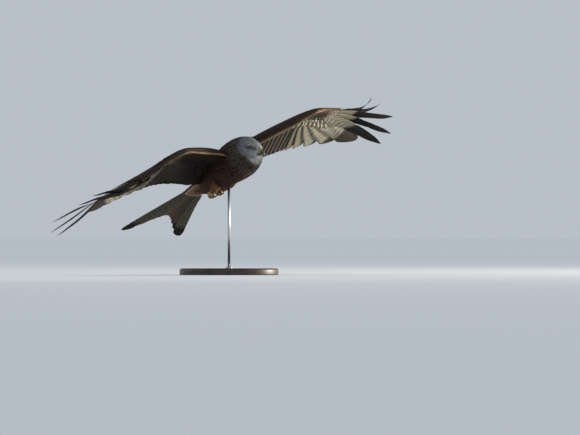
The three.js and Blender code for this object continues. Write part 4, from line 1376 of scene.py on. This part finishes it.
def growSecondary(vanes, side, t):  # t = 0 at the wrist, 1 at the innermost tertial
    wing, paint = wings[side], flightColors
    rootOut, tipOut = mix(wristOut - 6, 62, t), mix(wristOut + 12, 44, t ** 0.96)
    feather = {
        "root": onWing(rootOut, 0.36), "tip": (tipOut, trailBack(tipOut) + rng.uniform(-2, 2)),
        "lead": 12, "trail": 19, "shape": "wide", "bow": 3, "trimmed": True,
    }
    overTint = blendColor(*paint["secondaryOver"], smooth(0.7, 0.95, t))
    underTint = blendColor(*paint["secondaryUnder"], smooth(0.25, 0.7, t))
    underColors = (underTint, paint["secondaryUnderEdge"], paint["secondaryUnderMark"])
    # the under colours of the secondaries are scaled by the wing's gain of painted light and painted shade
    shaded = [wing["barbAndPaintedLightGain"] * np.array(color) for color in underColors]
    over = (overTint, paint["secondaryOverEdge"], plumage["black"], (rng.uniform(), 0.35, 0.95))
    under = (*shaded, (rng.uniform(), 0.75, 0.93))
    place = layOn(wing, (vaneForm["root"], vaneForm["tip"]), 0.11)
    vanes.grow(place, feather, over, under, bakeSpot("top" + side, rootOut, 85))


def growPrimary(vanes, side, i):
    wing, paint = wings[side], flightColors
    root = onWing(mix(wristOut + 4, fleshEnd, i / 9), mix(0.4, 0.14, i / 9))
    if i < innerCount:
        tipOut = wing["tips"][i]
        feather = {
            "root": root, "tip": (tipOut, trailBack(tipOut) + rng.uniform(-1.5, 1.5)),
            "lead": 15, "trail": mix(30, 46, i / 4), "shape": "wide", "bow": 4, "trimmed": True,
        }
        place = layOn(wing, (vaneForm["root"], vaneForm["tip"]), 0.1)
    else:
        k = i - innerCount
        feather = {
            "root": root, "tip": wing["fingers"][k][0], "lead": mix(16, 11, k / 4),
            "trail": mix(34, 20, k / 4), "shape": wing["blades"] if k else "corner", "bow": 7,
        }
        place = hangFree(wing, root, wing["fingers"][k])
    tipColor = paint["innerTip" if i < innerCount else "fingerTip"]
    over = (paint["primaryOver"], plumage["black"], plumage["black"], (rng.uniform(), 0.4, 0.7))
    under = (paint["pale"][i], tipColor, paint["primaryMark"], (rng.uniform(), 0.7, paint["tipFrom"][i]))
    vanes.grow(place, feather, over, under, bakeSpot("top" + side, root[0], 60))


def growAlula(vanes, side, i):
    feather = {
        "root": onWing(wristOut + 6 + i * 5, 0.1 + i * 0.025),
        "tip": onWing(wristOut + 62 + i * 13, 0.12 + i * 0.03),
        "lead": 4, "trail": 9, "shape": "tail",
    }
    dark = (plumage["darkBrown"], plumage["black"], plumage["black"], (0.2, 0.2, 0.9))
    vanes.grow(layOn(wings[side], (-1, 4.0 - i), 0.05), feather, dark, dark, bakeSpot("top" + side, 300, 20))


def growWing(side):
    vanes = Vanes("wing" + side + "Flight")
    for i in range(secondaryCount):
        growSecondary(vanes, side, i / (secondaryCount - 1))
    for i in range(primaryCount):
        growPrimary(vanes, side, i)
    for i in range(3):
        growAlula(vanes, side, i)
    return vanes.finishUp(flightMaterial)


def growTailFeather(vanes, side, i):  # i = 0 in the middle of the tail, 5 at its fork's tip
    t = i / 5
    paint = flightColors
    turn, length, start = mix(1.6, 14.7, t) * degree, mix(240, 350, t ** 1.7), mix(3, 15, t)
    feather = {
        "root": (start, 6), "tip": (start + length * math.sin(turn), length * math.cos(turn)),
        "lead": mix(19, 11, t), "trail": mix(19, 26, t), "shape": "tail", "bow": mix(0, -8, t),
    }

    def place(out, back, along, across):
        return np.stack([side * out, back, tailField(out, back) + 0.12 * across - 0.35 * i], -1)

    tipFrom = mix(0.97, 0.84, t)
    over = (
        blendColor(*paint["tailOver"], smooth(0.7, 1, t)),
        blendColor(paint["tailOverEdge"], plumage["darkBrown"], smooth(0.5, 1, t)),
        paint["tailOverMark"],
        (rng.uniform(), 0.35, tipFrom),
    )
    under = (
        blendColor(*paint["tailUnder"], smooth(0.1, 0.8, t)),
        blendColor(*paint["tailUnderEdge"], smooth(0.45, 0.8, t)),
        paint["tailUnderMark"],
        (rng.uniform(), 0.5, tipFrom),
    )
    vanes.grow(place, feather, over, under, bakeSpot("tailTop", side * start, 10))


def growTail():
    vanes = Vanes("tailFeathers")
    for side in (1, -1):
        for i in range(6):
            growTailFeather(vanes, side, i)
    vanes.points = [fromTail(points) for points in vanes.points]
    return vanes.finishUp(flightMaterial)


def dressTail():
    coat = Coat("tailCoverts")
    count = 8
    for name, reach, out in (("tailTop", 118, 1), ("tailLow", 100, -1)):
        for row, back in enumerate((54, 44, 34, 24, 14, 4, -6)):
            a = (np.linspace(-21, 21, count) + 3 * (row % 2)) * np.interp(back, [0, 60], [1, 0.85])
            b = np.full(count, float(back)) + rng.normal(0, 1.5, count)
            length = np.full(count, min(62, reach - back) * 0.95) * (1 - 0.25 * np.abs(a) / 24)
            way = math.pi / 2 - a / 24 * 0.16
            plantRegion(coat, name, a, b, way, (length, 8.5), out=out, lift=(0.4, 2.4))
    return coat.build(bodyMaterial)


for side in wings:
    low = side.lower()
    keep(growWing(side), "wing", "wing_" + low + "_arm", "wing_" + low + "_hand")
keep(growTail(), "tail", "tail_left", "tail_right")
keep(dressTail(), "tail")
print("feathers made")

# Eyes with lids, cere and bill

eyeForm = {
    "radius": 7.8, "at": (13.6, -3.5, 4.5), "facing": (0.9, -0.4, 0.06),
    "rings": (0.01, 0.2, 0.4, 0.415, 0.5, 0.6, 0.7, 0.85, 1.0, 1.4, 2.0, 2.6, 3.12),  # angle from the front
    "pupilRings": 3,
    "sides": 40,
    "lids": ((5.9, 5.3, 0.75), (6.9, 4.0, 1.2)),  # radius, height and girth of the inner and outer fold
}
irisMaterial = mottled(
    "iris", (0.46, 0.42, 0.27), (0.26, 0.21, 0.1), 1600.0, (0.3, 0.7), 6.0, (),
    Roughness=0.2, Coat_Weight=0.3, Coat_Roughness=0.05,
)
pupilMaterial = mottled(
    "pupil", (0.003, 0.003, 0.003), (0.007, 0.006, 0.005), 900.0, None, 3.0, (),
    Roughness=0.12, Specular_IOR_Level=0.3,
)
lidMaterial = mottled("lidSkin", (0.05, 0.045, 0.04), (0.022, 0.02, 0.018), 900.0, Roughness=0.5)
cereMaterial = mottled(
    "cereSkin", (0.46, 0.37, 0.13), (0.32, 0.25, 0.09), 600.0, bump=(0.5, 0.0003),
    Roughness=0.42, Specular_IOR_Level=0.4,
)


def makeHorn():
    looks = {"Roughness": 0.28, "Specular_IOR_Level": 0.5, "Coat_Weight": 0.25}
    material, tree, shader = blankMaterial("billHorn", **looks)
    blotch = placeGroup(tree, mottle, Scale=260.0, Detail=5.0, Low=0.35, High=0.7)
    color = mixColor(tree, blotch["Mask"], (0.035, 0.031, 0.028), (0.095, 0.085, 0.075))
    tree.links.new(calc(tree, "MULTIPLY_ADD", blotch["Fac"], 0.25, 0.16), shader.inputs["Roughness"])
    finishShader(tree, shader, color, blotch["Fac"], 0.3, 0.0003)
    return material


hornMaterial = makeHorn()


def faceFrame(side):  # columns: across, up, out of the eye, in the head's frame
    out = np.array(eyeForm["facing"]) * (side, 1, 1)
    out /= np.linalg.norm(out)
    across = np.cross((0, 0, 1), out)
    across /= np.linalg.norm(across)
    return np.stack([across, np.cross(out, across), out], 1)


def eyeToKite(points, side):
    return fromHead(points @ faceFrame(side).T + np.array(eyeForm["at"]) * (side, 1, 1))


def makeEye(name, side):
    profile = [(eyeForm["radius"] * math.sin(t), eyeForm["radius"] * math.cos(t)) for t in eyeForm["rings"]]
    points, faces = lathe(profile, eyeForm["sides"])
    pupilFaces = eyeForm["pupilRings"] * eyeForm["sides"]
    slots = [1 if i < pupilFaces else 0 for i in range(len(faces) - 2)] + [1, 0]
    piece = newMesh(name, toRow(eyeToKite(points, side)), faces, (irisMaterial, pupilMaterial))
    piece.data.polygons.foreach_set("material_index", slots)
    turnOut(piece)
    return piece


def makeLids():
    parts = []
    count, sides = 48, 10
    turn, around = circle(count), circle(sides)
    outward = np.stack([np.cos(turn), np.sin(turn), 0 * turn], -1)[:, None]
    cos, sin = np.cos(around)[None, :, None], np.sin(around)[None, :, None]
    quads = ringFaces(count, sides, capped=False)
    last = (count - 1) * sides
    quads += [[last + k, last + (k + 1) % sides, (k + 1) % sides, k] for k in range(sides)]
    for side in (1, -1):
        for radius, high, girth in eyeForm["lids"]:
            up = high - 0.5 * np.cos(2 * turn)
            ring = np.stack([radius * 1.08 * np.cos(turn), radius * 0.88 * np.sin(turn), up], -1)
            points = ring[:, None] + girth * (outward * cos + np.array((0, 0, 1.0)) * sin)
            parts.append((eyeToKite(points.reshape(-1, 3), side), quads, 0))
    return joinParts("eyelids", parts, (lidMaterial,))


billForm = {
    "cere": [
        ((-21, 11.2), (-21, -3.4), 8), ((-26.5, 10.8), (-26.5, -3.4), 7.4), ((-31, 9.4), (-31, -3.6), 6.4),
    ],
    "hook": [
        ((-31.3, 9.2), (-31.3, -3.6), 6.3), ((-36, 8.2), (-35.4, -4.3), 5.3),
        ((-40.6, 5.6), (-39.2, -5.2), 4.2), ((-44.2, 1.2), (-42, -6.6), 3), ((-46.2, -4), (-44, -9), 2),
        ((-46.9, -9), (-45.2, -11.6), 1.15), ((-46.2, -14), (-45.8, -13.8), 0.45),
    ],
    "lower": [
        ((-17, -4.2), (-17, -11.6), 7.6), ((-25, -4.2), (-25, -11.2), 6.4), ((-33.5, -4.9), (-33, -10), 4.6),
        ((-39.4, -6), (-39, -8.6), 2.6), ((-41.2, -7.4), (-41, -8.1), 1.1),
    ],
    "gape": [(9.5, -14, -4.6), (8.6, -20, -4.4), (7.4, -27, -4.2), (5.8, -33, -4.4)],
    "gapeGirth": (0.7, 1.25, 1.0, 0.3),
    "nostril": {"out": 7.15, "deep": 0.8, "back": -28.2, "up": 4.8, "long": 1.9, "tall": 1.05, "sides": 16},
}


def makeLoft(name, part, sides, steps, material):
    form = billForm[part]
    points, faces = loftMesh(loftSurface(form, fromHead), len(form) - 1, sides, steps)
    return joinParts(name, [(points, faces, 0)], (material,))


def makeNostrils():
    form = billForm["nostril"]
    parts = []
    turn = circle(form["sides"])
    back, up = form["back"] + form["long"] * np.cos(turn), form["up"] + form["tall"] * np.sin(turn)
    for side in (1, -1):
        rings = [np.stack([np.full(form["sides"], side * out), back, up], -1)
                 for out in (form["out"], form["out"] - form["deep"])]
        parts.append((fromHead(np.concatenate(rings)), ringFaces(2, form["sides"]), 0))
    return joinParts("nostrils", parts, (pupilMaterial,))


def makeGape():
    parts = []
    for side in (1, -1):
        path = np.array(billForm["gape"]) * (side, 1, 1)
        points, faces = tubeMesh(path, billForm["gapeGirth"], 8, hint=(0, 0, 1))
        parts.append((fromHead(points), faces, 0))
    return joinParts("gape", parts, (cereMaterial,))


keep(makeEye("eyeLeft", 1), "eye", "eye_left")
keep(makeEye("eyeRight", -1), "eye", "eye_right")
keep(makeLids(), "crown")
keep(makeLoft("cere", "cere", 40, 20, cereMaterial), "cere", "cere")
keep(makeNostrils(), "bill")
keep(makeGape(), "cere")
keep(makeLoft("billUpper", "hook", 36, 40, hornMaterial), "bill", "bill_upper")
keep(makeLoft("billLower", "lower", 32, 24, hornMaterial), "bill", "bill_lower")
print("head details made")

# Feet: scaled toes and curved claws, clenched under the vent

footMaterial = mottled("footSkin", (0.6, 0.42, 0.1), (0.36, 0.24, 0.06), 500.0, Roughness=0.5)
clawMaterial = mottled(
    "clawHorn", (0.02, 0.018, 0.016), (0.05, 0.042, 0.036), 300.0, bump=(0.5, 0.0002), Roughness=0.28
)
footForm = {
    "left": {"pad": (14, 103, -40), "side": 1},
    "right": {"pad": (-14, 107, -41), "side": -1},
    "shankFrom": 96.3,
    "shankGirth": 4.1,
    "toeGirth": curve([(0, 1.05), (0.25, 1.1), (0.5, 1), (0.75, 0.95), (1, 0.72)]),
    "clawReach": 6.2,
    "clawSweep": 105 * degree,
    "clawGirth": ([-0.03, 0.05, 0.35, 0.7, 1], [1.7, 2, 1.65, 1, 0.12]),
}
toes = [  # place aside, spread, first and last turn, reach from the pad's middle, girth
    (-6, -4, -30, 165, 9, 3), (0, 0, -30, 185, 10.5, 3.1), (6, 4, -30, 165, 9, 3),
    (0, -3, -20, -120, 9.5, 3.2),
]


def toePoint(centre, toe, turn, share):
    aside, spread, first, last, reach, girth = toe
    return centre + np.array([aside + spread * share, reach * math.sin(turn), reach * math.cos(turn)])


def toeTube(centre, toe):
    count = 34
    t = np.linspace(0, 1, count)
    path = np.array([toePoint(centre, toe, mix(toe[2], toe[3], x) * degree, x) for x in t])
    pads = 0.1 * np.abs(np.sin(t * math.pi * 3.5)) + 0.05 * (np.arange(count) % 3 == 0)
    return tubeMesh(path, toe[5] * (footForm["toeGirth"](t) + pads - 0.05), 18)


def makeClaw(name, centre, toe):
    way = 1 if toe[3] > toe[2] else -1
    end = toe[3] * degree
    tip = toePoint(centre, toe, end, 1)
    inward = centre + (toe[0] + toe[1], 0, 0) - tip
    reach = footForm["clawReach"]
    middle = tip + inward / np.linalg.norm(inward) * reach
    t = np.linspace(-0.03, 1, 22)
    turns = end + way * footForm["clawSweep"] * t
    back, up = middle[1] + reach * np.sin(turns), middle[2] + reach * np.cos(turns)
    path = np.stack([np.full(22, middle[0]), back, up], -1)
    points, faces = tubeMesh(path, np.interp(t, *footForm["clawGirth"]), 14)
    return joinParts(name, [(points, faces, 0)], (clawMaterial,))


def makeFoot(name):
    pad, side = np.array(footForm[name]["pad"], float), footForm[name]["side"]
    centre = pad + (0, -1, -5)
    corners = np.array([[side * 19, footForm["shankFrom"], -41], pad + (0, -4, 2), pad + (0, 3, 1)])
    t = np.linspace(0, 1, 22)
    shank = np.stack([np.interp(t, [0, 0.5, 1], values) for values in corners.T], -1)
    girth = footForm["shankGirth"] + 0.18 * np.sin(np.arange(22) * 1.9)
    tubes = [tubeMesh(shank, girth, 20)] + [toeTube(centre, toe) for toe in toes]
    parts = [(points, faces, 0) for points, faces in tubes]
    foot = joinParts("foot" + name.capitalize(), parts, (footMaterial,))
    keep(foot, "foot", "foot_" + name)
    for i, toe in enumerate(toes):
        claw = makeClaw("claw" + name.capitalize() + str(i + 1), centre, toe)
        keep(claw, "claw", "claw_" + name + "_" + str(i + 1))


makeFoot("left")
makeFoot("right")
print("feet made")

# Stand: a turned base and a plain rod with a collar, in metres

standForm = {
    "radius": 0.150, "height": 0.020, "foot": 0.003, "shoulder": 0.006, "gap": 0.0003,
    "rod": 0.004, "rodTop": 0.300,
}


def makeWood():
    material, tree, shader = blankMaterial("standWood", Roughness=0.42, Coat_Weight=0.15)
    coordinate = addNode(tree, "ShaderNodeTexCoord").outputs["Object"]
    stretch = addNode(tree, "ShaderNodeMapping", Vector=coordinate, Scale=(3.0, 40.0, 40.0))
    grain = noise(tree, 3.0, 8.0, stretch.outputs[0])
    color = mixColor(tree, ramp(tree, grain, 0.35, 0.68), (0.06, 0.034, 0.02), (0.022, 0.013, 0.009))
    finishShader(tree, shader, color, grain, 0.2, 0.0003)
    return material


def makeTurned(name, profile, sides, material):
    points, faces = lathe(profile, sides)
    piece = newMesh(name, points, faces, (material,))
    turnOut(piece)
    return piece


def quarter(centre, high, radius, start, count):  # rounded corner from start to a quarter turn on
    angles = np.linspace(start, start + math.pi / 2, count)
    return [(centre + radius * math.cos(t), high + radius * math.sin(t)) for t in angles]


def makeStand():
    r, h, foot, shoulder = (standForm[key] for key in ("radius", "height", "foot", "shoulder"))
    profile = [(0.0005, 0.0), (r - 0.012, 0.0)] + quarter(r - foot, foot, foot, -math.pi / 2, 6)
    profile += quarter(r - shoulder, h - shoulder, shoulder, 0, 10) + [(0.012, h), (0.0005, h)]
    steel = mottled(
        "rodSteel", (0.62, 0.62, 0.63), (0.5, 0.5, 0.52), 60.0, bump=(0.5, 0.00005),
        Roughness=0.3, Metallic=1.0,
    )
    start = h + standForm["gap"]
    rod = [(standForm["rod"], high) for high in (start, 0.16, standForm["rodTop"])]
    collar = [(0.0042, start), (0.010, start), (0.0105, h + 0.0012), (0.0095, h + 0.004), (0.0055, h + 0.006)]
    keep(makeTurned("standBase", profile, 128, makeWood()), "base", "stand_base")
    keep(makeTurned("standRod", rod, 40, steel), "rod", "stand_rod")
    keep(makeTurned("standCollar", collar + [(0.0042, h + 0.006)], 48, steel), "rod")


makeStand()
print("stand made")

# Floor, light and camera

viewForm = {"turn": -38.1 * degree, "distance": 40.0, "lens": 819.5, "aside": 0.1848, "under": 0.156}
studio = {
    "floor": 70.0,
    "key": {"right": 6.6, "away": 2.4, "up": 0.5, "power": 700, "size": 1.0, "color": (1.0, 0.9, 0.76)},
    "fill": {"right": -1.6, "away": -3.0, "up": 1.2, "power": 4, "size": 2.0, "color": (0.86, 0.93, 1.0)},
    "world": (0.78, 0.85, 0.93),
    "worldStrength": 0.62,
}
right = Vector((math.cos(viewForm["turn"]), math.sin(viewForm["turn"]), 0))
away = Vector((-right.y, right.x, 0))
middle = Vector((0, 0, kitePose["trunkHeight"]))


def makeFloor():
    material = mottled(
        "paleFloor", (0.94, 0.95, 0.95), (0.97, 0.97, 0.97), 3.0, None, 2.0, (),
        Roughness=0.85, Specular_IOR_Level=0.1,
    )
    points = [(studio["floor"] * math.cos(t), studio["floor"] * math.sin(t), 0.0) for t in circle(64)]
    floor = newMesh("floor", points, [list(range(64))], (material,))


def addLight(name, form):
    light = bpy.data.lights.new(name, "AREA")
    light.energy, light.shape, light.size, light.color = form["power"], "DISK", form["size"], form["color"]
    lamp = bpy.data.objects.new(name, light)
    lamp.location = middle + right * form["right"] + away * form["away"] + Vector((0, 0, form["up"]))
    lamp.rotation_euler = (middle - lamp.location).to_track_quat("-Z", "Y").to_euler()
    bpy.context.scene.collection.objects.link(lamp)


def makeWorld():
    world = bpy.data.worlds.new("paleStudio")
    world.use_nodes = True
    background = world.node_tree.nodes["Background"]
    background.inputs[0].default_value = (*studio["world"], 1)
    background.inputs[1].default_value = studio["worldStrength"]
    bpy.context.scene.world = world
    bpy.context.scene.view_settings.view_transform = "Standard"


def makeCamera():
    lens = bpy.data.cameras.new("mainCamera")
    lens.lens, lens.sensor_width, lens.clip_end = viewForm["lens"], 36.0, 120
    camera = bpy.data.objects.new("mainCamera", lens)
    lower = Vector((0, 0, viewForm["under"]))
    camera.location = middle + right * viewForm["aside"] - lower - away * viewForm["distance"]
    camera.rotation_euler = away.to_track_quat("-Z", "Y").to_euler()
    bpy.context.scene.collection.objects.link(camera)
    bpy.context.scene.camera = camera


makeFloor()
addLight("keyLight", studio["key"])
addLight("fillLight", studio["fill"])
makeWorld()
makeCamera()
print("studio made")
